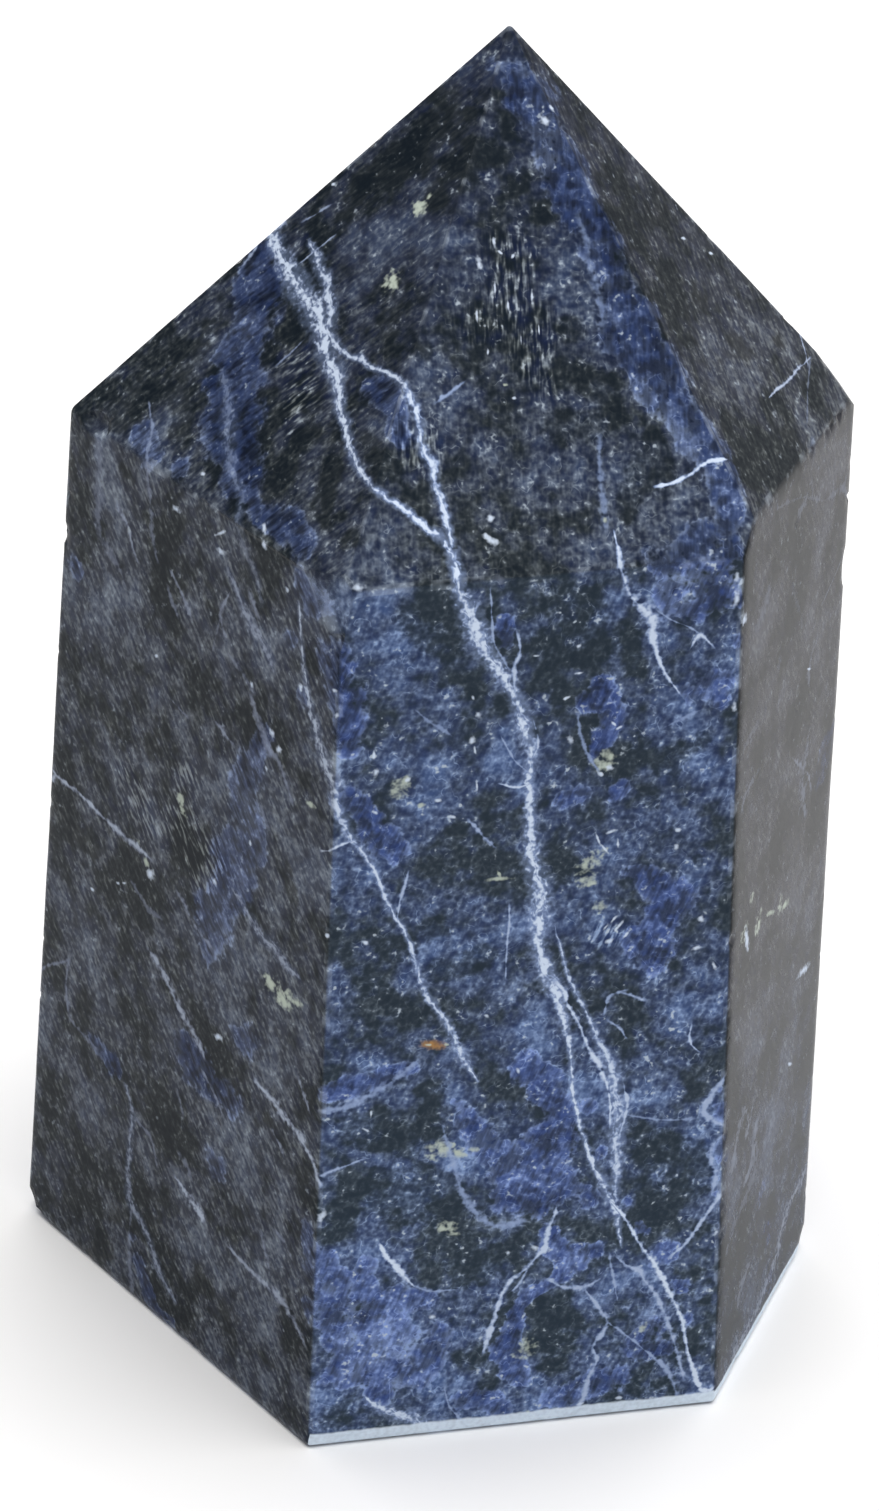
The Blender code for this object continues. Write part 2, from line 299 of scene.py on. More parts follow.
THREADS = {
    "lower main vein": (1.0, [
        (612, 1203, 2), (626, 1219, 4), (634, 1234, 4), (645, 1251, 4.5), (656, 1266, 6), (667, 1288, 6),
        (676, 1305, 5.5), (682, 1321, 5), (686, 1340, 4), (691, 1364, 4), (697, 1381, 5), (704, 1393, 4),
        (711, 1390, 3)]),
    "split on the left": (0.85, [
        (557, 984, 3), (564, 991, 4), (567, 1002, 4), (574, 1015, 4), (581, 1027, 4), (585, 1040, 4),
        (592, 1054, 6), (599, 1065, 7), (604, 1077, 5), (608, 1088, 3), (610, 1105, 2.5), (610, 1123, 2)]),
    "rim of the left low patch": (0.42, [
        (322, 1112, 4), (338, 1109, 7), (353, 1104, 8), (370, 1095, 8), (385, 1086, 7), (400, 1076, 7),
        (416, 1062, 5)]),
    "rim of the centre low patch": (0.42, [
        (444, 1130, 4), (447, 1142, 6), (452, 1160, 7), (458, 1180, 8), (464, 1197, 8), (476, 1212, 8),
        (490, 1223, 8), (505, 1226, 7), (522, 1221, 5)]),
    "rim by the right arris": (0.55, [(723, 1080, 4), (712, 1095, 5), (703, 1112, 6), (712, 1120, 6), (723, 1126, 4)]),
    "low rim by the right arris": (0.55, [(721, 1138, 4), (712, 1146, 6), (711, 1160, 6), (716, 1172, 6),
                                          (713, 1190, 4)]),
    "streak on the right side": (0.55, [(745, 1108, 3), (749, 1120, 5), (746, 1136, 4)]),
    "low streak on the right side": (0.5, [(756, 1122, 3), (755, 1142, 5), (751, 1165, 5), (744, 1186, 3)]),
    "streak by the right edge": (0.45, [(808, 740, 3), (805, 765, 6), (803, 790, 7), (806, 815, 4)]),
    "thread by the split": (0.7, [(625, 1088, 3), (627, 1103, 4), (625, 1118, 3), (620, 1134, 2)]),
    "wedge left": (0.5, [(491, 594, 2), (492, 614, 2.5), (493, 636, 3), (498, 650, 3.5), (507, 666, 3)]),
    "wedge right": (0.7, [(518, 636, 3), (521, 650, 4), (516, 663, 5), (514, 675, 4), (515, 690, 3)]),
    "strand on the right": (0.7, [(535, 724, 2), (538, 735, 3), (538, 746, 2.5), (534, 756, 2)]),
    "spur on the left": (0.5, [(503, 740, 2), (507, 748, 2.5), (515, 761, 2.5), (523, 768, 2.5), (530, 774, 2)]),
    "short spur": (0.8, [(504, 785, 2), (511, 787, 3), (519, 788, 2.5), (527, 785, 1.5)]),
    "tick on the second vein": (0.85, [(323, 851, 2.5), (331, 850, 3), (338, 847, 3), (347, 843, 2)]),
    "thread into the second vein": (0.6, [(407, 877, 2), (403, 891, 3.5), (399, 905, 2), (398, 916, 1.5)]),
    "faint arc": (0.35, [(419, 713, 3), (428, 721, 3.5), (436, 726, 3.5), (449, 734, 3)]),
    "row of dots": (0.6, [(509, 908, 2), (509, 920, 2.5), (508, 931, 3), (507, 949, 2.5), (506, 974, 2)]),
    "third vein": (0.85, [
        (615, 536, 2), (618, 548, 4), (619, 560, 6), (623, 571, 6), (628, 589, 6), (635, 600, 8), (646, 612, 12),
        (653, 621, 11), (651, 636, 7), (655, 646, 6), (658, 658, 4), (663, 669, 4), (670, 680, 4),
        (678, 691, 2)]),
    "edge of the blue patch": (0.5, [(661, 613, 3), (672, 620, 2.5), (686, 625, 2.5), (695, 631, 2)]),
    "little roof": (0.8, [(693, 644, 2.5), (697, 638, 3), (701, 635, 4), (706, 639, 3), (711, 644, 2.5)]),
    "white crack": (0.9, [(660, 486, 2.5), (671, 484, 3), (686, 477, 3.5), (697, 469, 4), (706, 463, 3.5),
                          (725, 459, 3)]),
    "crack on the right slope": (0.75, [
        (770, 396, 2), (778, 389, 2.5), (785, 384, 3), (793, 375, 3), (800, 367, 3), (809, 359, 2)]),
    "line down the right slope": (0.3, [(810, 361, 1.5), (808, 390, 2), (807, 419, 2)]),
    "faint cross line": (0.4, [(628, 1115, 2.5), (650, 1119, 2.5), (670, 1120, 2), (691, 1119, 2.5)]),
    "crack to the arris": (0.65, [(721, 1194, 4), (710, 1210, 3.5), (695, 1230, 3), (686, 1243, 3), (673, 1254, 2)]),
    "left rim of the low patch": (0.75, [
        (556, 1210, 3), (554, 1218, 4), (547, 1232, 5), (545, 1244, 4), (536, 1258, 4), (526, 1269, 4.5),
        (510, 1282, 4), (501, 1296, 4.5), (495, 1317, 4.5), (491, 1327, 5), (487, 1339, 6), (484, 1350, 3)]),
    "spur of the rim": (0.6, [(526, 1272, 2.5), (520, 1283, 2.5), (512, 1291, 2)]),
    "ledge": (0.6, [(549, 1280, 3), (560, 1286, 3.5), (572, 1288, 4.5), (587, 1286, 4.5), (596, 1281, 3)]),
    "low branch": (0.6, [
        (587, 1292, 3), (600, 1310, 4), (608, 1321, 5), (602, 1334, 4.5), (593, 1347, 4.5), (597, 1360, 3),
        (590, 1375, 5), (587, 1385, 7), (580, 1404, 7), (568, 1416, 4)]),
    "thin upright": (0.5, [(610, 1257, 3), (613, 1277, 3), (617, 1297, 2)]),
    "low right branch": (0.5, [
        (608, 1322, 3), (620, 1331, 2.5), (630, 1338, 2.5), (641, 1347, 2.5), (653, 1357, 4), (665, 1368, 5),
        (674, 1384, 6), (677, 1394, 4)]),
    "crust beside the main vein": (0.6, [
        (619, 1259, 3), (628, 1266, 4.5), (639, 1271, 5), (644, 1280, 5), (656, 1295, 6.5), (665, 1314, 6.5),
        (672, 1335, 6), (678, 1355, 5), (683, 1376, 4)]),
    "thin curve by the foot": (0.5, [(445, 1390, 2), (449, 1405, 3), (459, 1418, 3), (469, 1428, 2)]),
    "white dash": (0.95, [(381, 1247, 3), (385, 1255, 5), (394, 1265, 6.5), (400, 1272, 6), (407, 1279, 5),
                          (412, 1284, 2)]),
    "thin curve": (0.45, [(415, 1286, 2.5), (430, 1291, 3), (452, 1290, 2)]),
    "dotted line": (0.55, [(321, 1176, 3.5), (330, 1172, 4), (340, 1168, 3), (359, 1161, 2)]),
    "short line by the foot": (0.4, [(338, 1449, 2.5), (342, 1441, 2.5), (346, 1433, 2)]),
    "slanted dash": (0.55, [(471, 823, 3), (477, 829, 4), (484, 837, 4), (493, 845, 3.5)]),
    "pale streak": (0.3, [(600, 440, 6), (600, 476, 7), (603, 499, 8), (604, 514, 9), (605, 526, 9)]),
    "green streak": (0.27, [(580, 218, 8), (585, 237, 10), (589, 252, 7)]),
    "green streak below": (0.25, [(588, 262, 7), (597, 286, 10), (603, 306, 11), (602, 325, 8)]),
    "streak on the slope": (0.45, [(440, 400, 3), (450, 393, 5), (461, 384, 3)]),
    "cross scratch": (0.6, [(303, 260, 2), (318, 248, 2.5), (332, 237, 2)]),
    "second cross scratch": (0.5, [(307, 219, 2), (317, 213, 2.5), (327, 207, 2)]),
    "third cross scratch": (0.45, [(280, 362, 2), (290, 353, 2.5), (299, 344, 2)]),
    "curve at the right arris": (0.7, [(691, 1028, 2), (689, 1038, 3), (690, 1043, 3), (696, 1049, 2)]),
    "arc": (0.5, [(605, 1011, 2.5), (607, 1000, 3), (612, 994, 3.5), (622, 991, 3)]),
    "cream arc": (0.6, [(612, 1023, 2.5), (620, 1028, 4), (625, 1035, 3)]),
    "cream streak": (0.65, [(625, 993, 3), (632, 995, 5), (641, 999, 4)]),
    "pale streak right": (0.35, [(669, 725, 3), (682, 719, 4), (696, 712, 3)]),
    "left of the cream knot": (0.4, [(578, 716, 4), (582, 740, 4), (588, 755, 3.5), (597, 769, 2.5)]),
    "bright line left": (0.4, [(149, 405, 2), (152, 430, 3.5), (147, 453, 4), (147, 466, 4.5), (148, 480, 4),
                                (151, 503, 4), (152, 534, 4), (157, 559, 3)]),
    "yellow line left": (0.6, [(118, 507, 3), (123, 517, 4), (128, 526, 3), (132, 544, 3), (137, 559, 2)]),
    "grey streak left": (0.3, [(98, 440, 6), (99, 465, 8), (99, 490, 9), (98, 509, 6), (101, 538, 7), (113, 558, 7),
                               (120, 568, 5), (124, 582, 3)]),
    "greenish line left": (0.5, [(171, 573, 2), (178, 586, 2.5), (184, 600, 3), (190, 615, 2.5)]),
    "short line left": (0.45, [(169, 592, 3), (172, 603, 4), (176, 613, 3)]),
    "fork high left": (0.5, [(228, 596, 2), (220, 612, 4), (224, 633, 3)]),
    "spur high left": (0.35, [(220, 618, 2), (217, 632, 3), (213, 648, 2)]),
    "streak near the arris": (0.5, [(250, 594, 4), (253, 604, 6), (257, 614, 3)]),
    "streak to the white spot": (0.35, [(229, 655, 3), (238, 668, 5), (247, 680, 5), (252, 690, 3)]),
    "thin line left": (0.5, [(172, 700, 2), (178, 707, 3), (185, 715, 2)]),
    "vein at the left edge": (0.75, [(51, 771, 2), (60, 779, 3.5), (70, 786, 5), (77, 790, 4), (87, 801, 3),
                                     (105, 819, 4), (122, 834, 5), (138, 848, 5), (149, 858, 3)]),
    "short dash left": (0.6, [(218, 725, 3), (224, 733, 4.5), (231, 742, 3)]),
    "pale band left": (0.45, [(251, 698, 4), (256, 713, 6), (261, 729, 7), (269, 749, 8), (277, 759, 5),
                              (285, 780, 3), (291, 800, 3)]),
    "thin line by the arris": (0.35, [(261, 808, 2), (265, 819, 3), (270, 831, 2)]),
    "blue thread left": (0.5, [(179, 895, 2.5), (186, 908, 4), (193, 922, 3.5), (201, 934, 3), (211, 947, 3)]),
    "lilac thread left": (0.35, [(133, 884, 2.5), (142, 899, 3), (149, 911, 4), (160, 918, 3)]),
    "crisp line left": (0.7, [(150, 952, 3), (156, 961, 4.5), (162, 971, 4), (173, 995, 4), (184, 1017, 5),
                              (193, 1032, 6), (199, 1043, 7), (203, 1054, 3)]),
    "line low left": (0.45, [(68, 960, 3), (66, 986, 3), (68, 1012, 3), (73, 1023, 3), (83, 1034, 4),
                             (95, 1048, 4)]),
    "left branch of the fork": (0.4, [(131, 1212, 3), (129, 1242, 3), (130, 1271, 4), (132, 1293, 4),
                                      (134, 1303, 3)]),
    "thin line from the fork": (0.4, [(137, 1121, 2), (145, 1130, 2.5), (152, 1141, 2.5), (156, 1163, 2)]),
    "white bar left": (0.85, [(177, 1180, 3), (184, 1190, 6), (189, 1198, 6), (196, 1208, 6.5), (202, 1218, 3)]),
    "pale bar left": (0.4, [(181, 1156, 4), (186, 1165, 6), (190, 1176, 3)]),
    "thin line low left": (0.4, [(178, 1094, 2.5), (181, 1104, 3), (183, 1115, 2.5)]),
    "thin line mid left": (0.5, [(203, 1072, 2), (209, 1083, 3), (214, 1093, 3), (221, 1111, 2)]),
    "bright edge left": (0.8, [(257, 1083, 3), (265, 1092, 4), (273, 1101, 5), (280, 1110, 6), (286, 1119, 5),
                               (295, 1130, 5), (301, 1140, 4), (308, 1152, 4), (314, 1166, 4), (319, 1183, 4)]),
    "hook left": (0.6, [(274, 1133, 2.5), (278, 1141, 4), (282, 1152, 3)]),
    "dash by the arris": (0.6, [(299, 1081, 3), (304, 1095, 4), (309, 1110, 3)]),
    "low thread left": (0.65, [(230, 1249, 2), (240, 1260, 3), (251, 1271, 4), (262, 1282, 3.5), (273, 1292, 5),
                               (281, 1301, 6), (288, 1311, 6), (297, 1328, 5), (303, 1341, 3)]),
    "dash low left": (0.5, [(261, 1235, 3), (265, 1252, 4), (269, 1270, 3)]),
    "dash lower left": (0.4, [(277, 1233, 2.5), (284, 1243, 3), (290, 1255, 2)]),
    "crossing line right": (0.35, [(778, 508, 4), (793, 500, 4), (806, 497, 5), (823, 500, 5), (834, 494, 5),
                                   (845, 482, 7)]),
    "spur right": (0.4, [(808, 496, 4), (804, 504, 5), (799, 514, 4)]),
    "streak high right": (0.25, [(813, 440, 4), (814, 457, 4), (812, 474, 3), (813, 494, 3)]),
    "greenish streak right": (0.35, [(770, 590, 4), (766, 602, 6), (762, 613, 6), (758, 629, 4)]),
    "grey streak right": (0.22, [(795, 568, 3), (794, 580, 4), (794, 592, 3), (801, 615, 6), (802, 626, 4)]),
    "thread right": (0.4, [(817, 640, 2), (812, 655, 3), (809, 672, 4), (810, 684, 3)]),
    "thin right": (0.3, [(780, 650, 3), (779, 660, 4), (779, 671, 3)]),
    "pale right": (0.3, [(757, 724, 4), (751, 736, 5), (745, 748, 4)]),
    "pale right below": (0.4, [(758, 772, 3), (751, 784, 4), (746, 795, 5), (742, 811, 4)]),
    "rim right": (0.5, [(793, 758, 3), (800, 766, 4), (808, 773, 4), (811, 787, 3)]),
    "streak low right": (0.35, [(782, 1080, 4), (778, 1097, 5), (775, 1112, 5), (771, 1128, 4), (765, 1144, 4)]),
    "fan right": (0.45, [(746, 1108, 5), (741, 1122, 7), (737, 1139, 5), (732, 1170, 4)]),
    "second of the fan": (0.35, [(752, 1125, 5), (756, 1142, 5), (757, 1160, 4), (754, 1175, 4), (748, 1190, 4),
                                 (742, 1205, 4), (737, 1218, 3), (727, 1251, 3)]),
    "small line right": (0.45, [(749, 1266, 4), (744, 1277, 4), (740, 1286, 5), (738, 1305, 4)]),
}
print(len(BROAD_VEINS), "broad veins and", len(THREADS), "threads")

# %% [markdown]
# Between the veins lie small grains of white and cream feldspar. Each is noted by its middle, its length
# and width, all in pixels, and the slant of its length, in degrees down from level towards the right.

# %% The grains seen in the photograph
# x, y, length, width, slant
WHITE_GRAINS = [
    (490, 518, 11, 10, 0), (492, 541, 16, 9, 20), (485, 536, 8, 7, 60), (359, 588, 14, 9, 0), (340, 598, 7, 6, 0),
    (610, 768, 8, 7, 0), (601, 774, 7, 5, 30), (478, 715, 9, 7, 60), (473, 698, 5, 4, 60), (472, 741, 8, 7, 90),
    (475, 750, 10, 3, 80), (477, 786, 13, 3, 85), (570, 740, 10, 7, 60), (579, 646, 7, 4, -30),
    (580, 673, 11, 3, -10), (567, 698, 8, 3, -20), (536, 656, 7, 3, 0), (613, 723, 9, 3, 45), (619, 728, 8, 3, -30),
    (735, 707, 10, 6, 100), (717, 1233, 8, 4, 100), (535, 1248, 9, 6, 20), (508, 1253, 5, 5, 0),
    (322, 1217, 14, 8, -60), (432, 1317, 7, 5, 0), (549, 1419, 9, 4, 0), (581, 1404, 11, 3, -15), (619, 1398, 9, 4, -10),
    (336, 716, 6, 6, 0), (334, 691, 6, 5, 0), (300, 687, 9, 4, 80), (374, 755, 9, 3, 90),
    (376, 772, 12, 6, 100), (376, 813, 8, 4, 20), (453, 817, 7, 4, 15), (438, 801, 8, 4, 0), (408, 780, 6, 5, 0),
    (696, 948, 10, 5, -20), (714, 966, 9, 5, 70), (701, 919, 9, 7, 90), (678, 830, 7, 6, 0), (676, 847, 7, 5, 100),
    (598, 839, 18, 3, 70), (604, 848, 15, 3, 50), (611, 832, 13, 4, -20), (618, 843, 13, 3, 90),
    (609, 941, 11, 5, -20), (620, 925, 15, 3, -50), (613, 920, 12, 3, -50), (606, 927, 10, 3, -50),
    (626, 935, 10, 3, -50), (487, 1016, 7, 4, 20), (518, 1071, 8, 4, 70), (371, 1114, 9, 3, 90),
    (366, 1130, 9, 3, 25), (327, 936, 5, 5, 0), (366, 943, 6, 5, 45), (683, 238, 5, 4, 0), (711, 253, 4, 4, 0),
    (333, 184, 5, 4, 0), (545, 121, 13, 8, 75), (552, 108, 8, 5, 60), (221, 533, 15, 4, -20), (221, 552, 10, 7, 30),
    (176, 509, 10, 7, 20), (287, 589, 5, 5, 30), (156, 656, 5, 4, 70), (203, 474, 5, 4, 0), (252, 685, 8, 5, 75),
    (301, 687, 9, 4, 80), (272, 733, 9, 6, 60), (279, 749, 10, 6, 70), (266, 768, 7, 3, 80), (250, 843, 7, 3, 90),
    (218, 1037, 10, 8, 0), (150, 874, 15, 9, 70), (215, 882, 9, 5, 60), (118, 883, 4, 4, 0), (124, 883, 4, 3, 0),
    (92, 889, 5, 4, 30), (747, 940, 14, 5, 85), (804, 970, 14, 6, -45), (790, 1064, 6, 5, 0), (809, 669, 5, 3, 0),
    (514, 398, 5, 4, 0), (488, 352, 8, 3, 90), (477, 316, 14, 3, 85), (494, 242, 12, 4, 80), (495, 288, 20, 3, 88),
    (508, 305, 12, 3, 85), (532, 296, 16, 3, 88), (539, 330, 14, 2, 86), (521, 340, 12, 2, 88), (479, 264, 14, 7, 80),
    (500, 252, 6, 3, 40), (513, 256, 6, 3, 120), (509, 268, 7, 3, 0),
    (264, 528, 10, 5, 80), (264, 545, 12, 6, 85), (737, 577, 12, 7, 95), (737, 598, 22, 8, 95), (745, 620, 14, 5, 100),
    (583, 939, 34, 6, 95),
]
CREAM_GRAINS = [
    (498, 879, 29, 5, -3), (499, 874, 8, 4, 60), (421, 805, 10, 6, 0), (311, 805, 10, 7, 30), (505, 385, 6, 4, 0),
    (394, 281, 22, 10, 80), (418, 208, 20, 10, -60), (429, 196, 8, 5, -60), (528, 1412, 6, 5, 0),
    (430, 1147, 14, 10, 0), (443, 1149, 12, 9, 10), (458, 1153, 16, 8, 20), (473, 1150, 13, 6, 0),
    (270, 985, 15, 11, 55), (284, 1001, 20, 15, 35), (297, 1003, 12, 9, 10), (442, 1229, 12, 8, 0),
    (455, 1234, 10, 6, 20), (429, 1045, 8, 3, 5), (447, 1045, 7, 3, 5), (785, 905, 9, 6, -45), (771, 913, 10, 6, -20),
    (605, 520, 8, 5, 90), (609, 757, 20, 14, 60), (146, 862, 16, 6, 65),
]
RUSTY_GRAINS = [(433, 1045, 30, 11, 5)]
print(len(WHITE_GRAINS) + len(CREAM_GRAINS) + len(RUSTY_GRAINS), "grains")

# %% [markdown]
# The stone between veins and grains isn't one blue. There are cloudy blue patches with ragged edges,
# pale ones, and olive black ones. Each patch is a string of discs, noted by middle and radius in
# pixels. The discs only say where a tone gathers: the ragged edge comes from noise in the finish.

# %% The patches seen in the photograph
BLUE_PATCHES = {
    "band by the right slope": [
        (497, 66, 12), (515, 85, 30), (535, 105, 34), (550, 135, 32), (562, 170, 28), (578, 205, 24), (592, 238, 24),
        (603, 268, 24), (614, 298, 27), (627, 328, 30), (642, 352, 30), (658, 377, 30), (676, 402, 30),
        (697, 428, 26), (714, 450, 26), (722, 480, 28), (732, 510, 26), (730, 535, 22), (736, 552, 14)],
    "right of the third vein": [(665, 560, 20), (695, 550, 26), (722, 575, 24), (705, 605, 22), (672, 590, 18)],
    "right arris": [(738, 600, 10), (728, 680, 14), (722, 700, 12), (738, 640, 8)],
    "wedge of the second strand": [(368, 388, 14), (388, 398, 16), (400, 415, 14), (404, 440, 9)],
    "left slope band": [(262, 248, 18), (254, 280, 32), (246, 315, 40), (238, 350, 44), (232, 385, 44), (230, 420, 40),
                        (236, 455, 36), (250, 485, 30)],
    "left slope low": [(262, 510, 20), (285, 525, 24), (305, 540, 20)],
    "left slope far": [(140, 430, 14), (150, 455, 14), (180, 470, 14)],
    "second vein right": [(335, 645, 14), (338, 680, 20), (352, 700, 22), (350, 745, 18), (352, 800, 16), (378, 830, 20),
                          (400, 850, 16)],
    "wedge beside the main vein": [(505, 620, 10), (507, 645, 10)],
    "right of the main vein": [(600, 690, 16), (612, 715, 18), (600, 745, 14), (590, 700, 14), (620, 790, 14)],
    "front middle": [(690, 690, 16), (715, 680, 16), (565, 800, 12), (585, 790, 12)],
    "front middle low": [(640, 870, 18), (670, 900, 24), (645, 930, 20), (655, 955, 22)],
    "left low patch": [(331, 1095, 13), (350, 1086, 15), (372, 1079, 13), (392, 1068, 12), (411, 1067, 11)],
    "centre low patch": [(462, 1108, 12), (468, 1128, 20), (495, 1145, 28), (515, 1175, 34), (535, 1195, 26),
                         (500, 1195, 22), (540, 1150, 26), (560, 1120, 20), (545, 1085, 18), (520, 1060, 14),
                         (560, 1185, 20), (585, 1200, 16)],
    "foot patch": [(552, 1232, 12), (562, 1255, 18), (580, 1262, 18), (598, 1252, 12), (560, 1272, 14),
                   (540, 1285, 10), (525, 1300, 12), (512, 1322, 12), (505, 1345, 16), (520, 1370, 18)],
    "left foot": [(322, 1255, 10), (334, 1285, 20), (326, 1320, 16), (335, 1350, 14), (370, 1265, 16),
                  (360, 1300, 16), (400, 1300, 18), (430, 1300, 16)],
    "left foot speckled": [(350, 1310, 24), (385, 1340, 34), (345, 1365, 24), (410, 1375, 26), (440, 1335, 16),
                           (380, 1395, 18), (470, 1400, 22), (500, 1410, 16)],
    "along the lower main vein": [(590, 1105, 9), (600, 1150, 10), (630, 1200, 9), (646, 1226, 13), (662, 1256, 14),
                                  (678, 1285, 12), (690, 1320, 8), (655, 1325, 16), (635, 1345, 18), (660, 1350, 14)],
    "foot right": [(600, 1380, 20), (575, 1395, 18), (550, 1400, 14), (690, 1398, 8), (620, 1375, 12)],
    "right arris low": [(721, 1090, 4), (721, 1106, 8), (719, 1120, 8), (722, 1142, 7), (715, 1158, 8), (715, 1178, 5),
                        (714, 1194, 5), (727, 1156, 6)],
    "left side by the vein": [(300, 575, 12), (312, 610, 16), (322, 655, 14), (292, 640, 12), (305, 700, 12)],
    "left side navy": [(262, 740, 20), (250, 780, 28), (245, 830, 30), (225, 890, 30), (210, 940, 32), (245, 1040, 28),
                       (190, 1060, 26), (230, 1100, 26), (215, 1160, 22)],
    "left side foot": [(132, 1235, 6), (138, 1262, 10), (146, 1290, 12), (156, 1318, 12), (165, 1335, 8)],
    "left side by the foot arris": [(308, 1235, 14), (312, 1270, 15), (308, 1305, 12)],
    "left side low": [(93, 1040, 9), (104, 1055, 12), (116, 1070, 9)],
    "right side": [(762, 1192, 14), (768, 1230, 14), (770, 1280, 14), (752, 1320, 14)],
}
PALE_PATCHES = {
    "tip": [(490, 48, 7), (497, 60, 6)],
    "top of the band": [(530, 100, 12), (543, 112, 14), (550, 132, 20), (545, 155, 14), (532, 165, 10)],
    "band edge": [(594, 245, 8), (602, 280, 8), (616, 318, 8)],
    "cloud": [(643, 385, 11), (661, 411, 13), (680, 428, 12), (694, 445, 9), (712, 462, 7)],
    "right of the third vein": [(668, 585, 14), (690, 590, 24), (705, 570, 20), (735, 585, 14)],
    "right slope blob": [(547, 92, 7), (577, 115, 6)],
    "left slope": [(264, 527, 8), (266, 545, 7), (229, 430, 7)],
    "beside the main vein": [(495, 655, 7), (540, 905, 10), (535, 935, 9), (548, 985, 8), (560, 1005, 7), (520, 988, 12),
                             (526, 735, 6)],
    "second vein haze": [(334, 755, 9), (338, 770, 7), (460, 1052, 6)],
    "left low patch rim": [(332, 1106, 6), (352, 1101, 6), (370, 1091, 6), (402, 1082, 7), (415, 1060, 6)],
    "centre low rim": [(484, 1225, 8), (507, 1222, 8), (535, 1216, 8), (452, 1168, 6)],
    "foot patch": [(566, 1262, 14), (585, 1258, 12), (552, 1245, 8), (530, 1290, 6), (505, 1325, 6)],
    "speckled foot": [(330, 1290, 8), (350, 1310, 12), (375, 1335, 17), (385, 1355, 19), (350, 1370, 13),
                      (405, 1345, 14), (340, 1340, 12), (400, 1385, 9)],
    "by the foot": [(395, 1418, 8), (420, 1424, 9)],
    "pale spot by the foot": [(585, 1390, 8)],
    "right arris low": [(721, 1100, 6), (720, 1120, 6), (722, 1140, 6), (713, 1160, 5), (715, 1185, 4), (727, 1150, 4)],
    "split band": [(615, 1095, 7), (617, 1120, 6), (616, 1145, 5)],
    "left side": [(101, 485, 8), (150, 520, 7), (118, 552, 7), (222, 535, 9), (104, 1055, 8), (262, 632, 6)],
}
DARK_PATCHES = {
    "left slope": [(110, 420, 20), (140, 400, 24), (180, 430, 22), (190, 370, 30), (210, 330, 18), (200, 400, 24),
                   (280, 480, 26), (320, 520, 20), (330, 470, 16), (310, 430, 20), (290, 330, 12), (350, 540, 14)],
    "front slope top": [(440, 90, 22), (455, 120, 26), (420, 150, 30), (380, 170, 26), (350, 210, 20), (470, 160, 24),
                        (440, 190, 24), (500, 130, 14), (520, 180, 16), (550, 215, 14)],
    "front slope": [(570, 330, 16), (590, 380, 20), (610, 420, 16), (560, 430, 24), (385, 330, 18), (420, 350, 16),
                    (370, 440, 14), (390, 470, 14), (620, 380, 12)],
    "olive by the crack": [(650, 440, 16), (655, 460, 24), (668, 478, 16), (640, 480, 16), (630, 510, 14)],
    "spot in the blue": [(689, 598, 7)],
    "above the shoulder": [(560, 600, 26), (600, 645, 26), (545, 640, 18), (590, 600, 22), (640, 572, 12),
                           (632, 640, 16), (640, 670, 14), (560, 690, 16)],
    "left of the main vein": [(505, 712, 10), (500, 700, 8), (440, 580, 18), (420, 620, 24), (450, 650, 20), (470, 690, 12)],
    "right of the wedge": [(640, 745, 16), (670, 760, 20), (700, 740, 12), (650, 800, 18), (600, 810, 12), (570, 870, 16)],
    "by the second vein": [(400, 950, 18), (380, 935, 14), (430, 930, 16), (395, 1000, 14), (370, 985, 16), (410, 1015, 16),
                           (440, 970, 14), (480, 960, 16)],
    "under the left patch": [(345, 1130, 14), (378, 1112, 12), (365, 1140, 18), (405, 1150, 16), (420, 1090, 9),
                             (440, 1088, 12), (430, 1112, 13), (420, 1130, 12)],
    "low mass": [(370, 1188, 24), (400, 1205, 32), (440, 1215, 26), (450, 1192, 18), (420, 1172, 18), (465, 1250, 22),
                 (488, 1268, 18), (503, 1245, 12), (522, 1238, 9), (465, 1280, 14), (330, 1235, 12), (345, 1215, 12)],
    "right low mass": [(645, 1140, 14), (665, 1150, 28), (692, 1165, 14), (680, 1190, 28), (650, 1190, 20),
                       (662, 1215, 14), (640, 1160, 16)],
    "under the ledge": [(545, 1308, 15), (560, 1335, 22), (535, 1342, 14), (562, 1300, 10), (575, 1320, 12),
                        (548, 1365, 12)],
    "foot": [(655, 1390, 12), (668, 1382, 10), (640, 1396, 10), (335, 1420, 16), (350, 1400, 10), (455, 1360, 10)],
    "by the right arris": [(700, 1230, 10), (708, 1300, 8), (706, 1350, 7), (700, 1270, 8), (700, 860, 10)],
    "left side": [(100, 1240, 20), (90, 1262, 12), (115, 1215, 12), (165, 1125, 18), (150, 1105, 12), (268, 1120, 10),
                  (278, 1108, 8), (200, 1280, 22), (192, 1320, 16), (225, 1310, 14), (290, 870, 9), (293, 895, 12),
                  (75, 830, 14), (90, 850, 12), (110, 720, 20), (150, 740, 18), (72, 470, 12), (125, 470, 10)],
    "right slope": [(700, 300, 20), (740, 350, 20), (660, 220, 18), (790, 440, 16), (780, 340, 14), (730, 430, 12)],
}
KNOT_PATCHES = {
    "cream knots": [(403, 787, 13), (609, 756, 13)],
    "pale knots": [(394, 281, 13), (418, 208, 12), (433, 1149, 12), (458, 1152, 10), (450, 1231, 11), (284, 1000, 17),
                   (270, 983, 9), (643, 1327, 8), (528, 1352, 14)],
    "olive on the right side": [(745, 935, 14), (760, 920, 14), (780, 905, 10), (752, 900, 8)],
    "ochre on the left side": [(180, 798, 9), (185, 818, 6), (142, 848, 7), (128, 528, 5)],
    "streak by the second vein": [(600, 905, 8), (590, 875, 14), (600, 860, 12)],
}
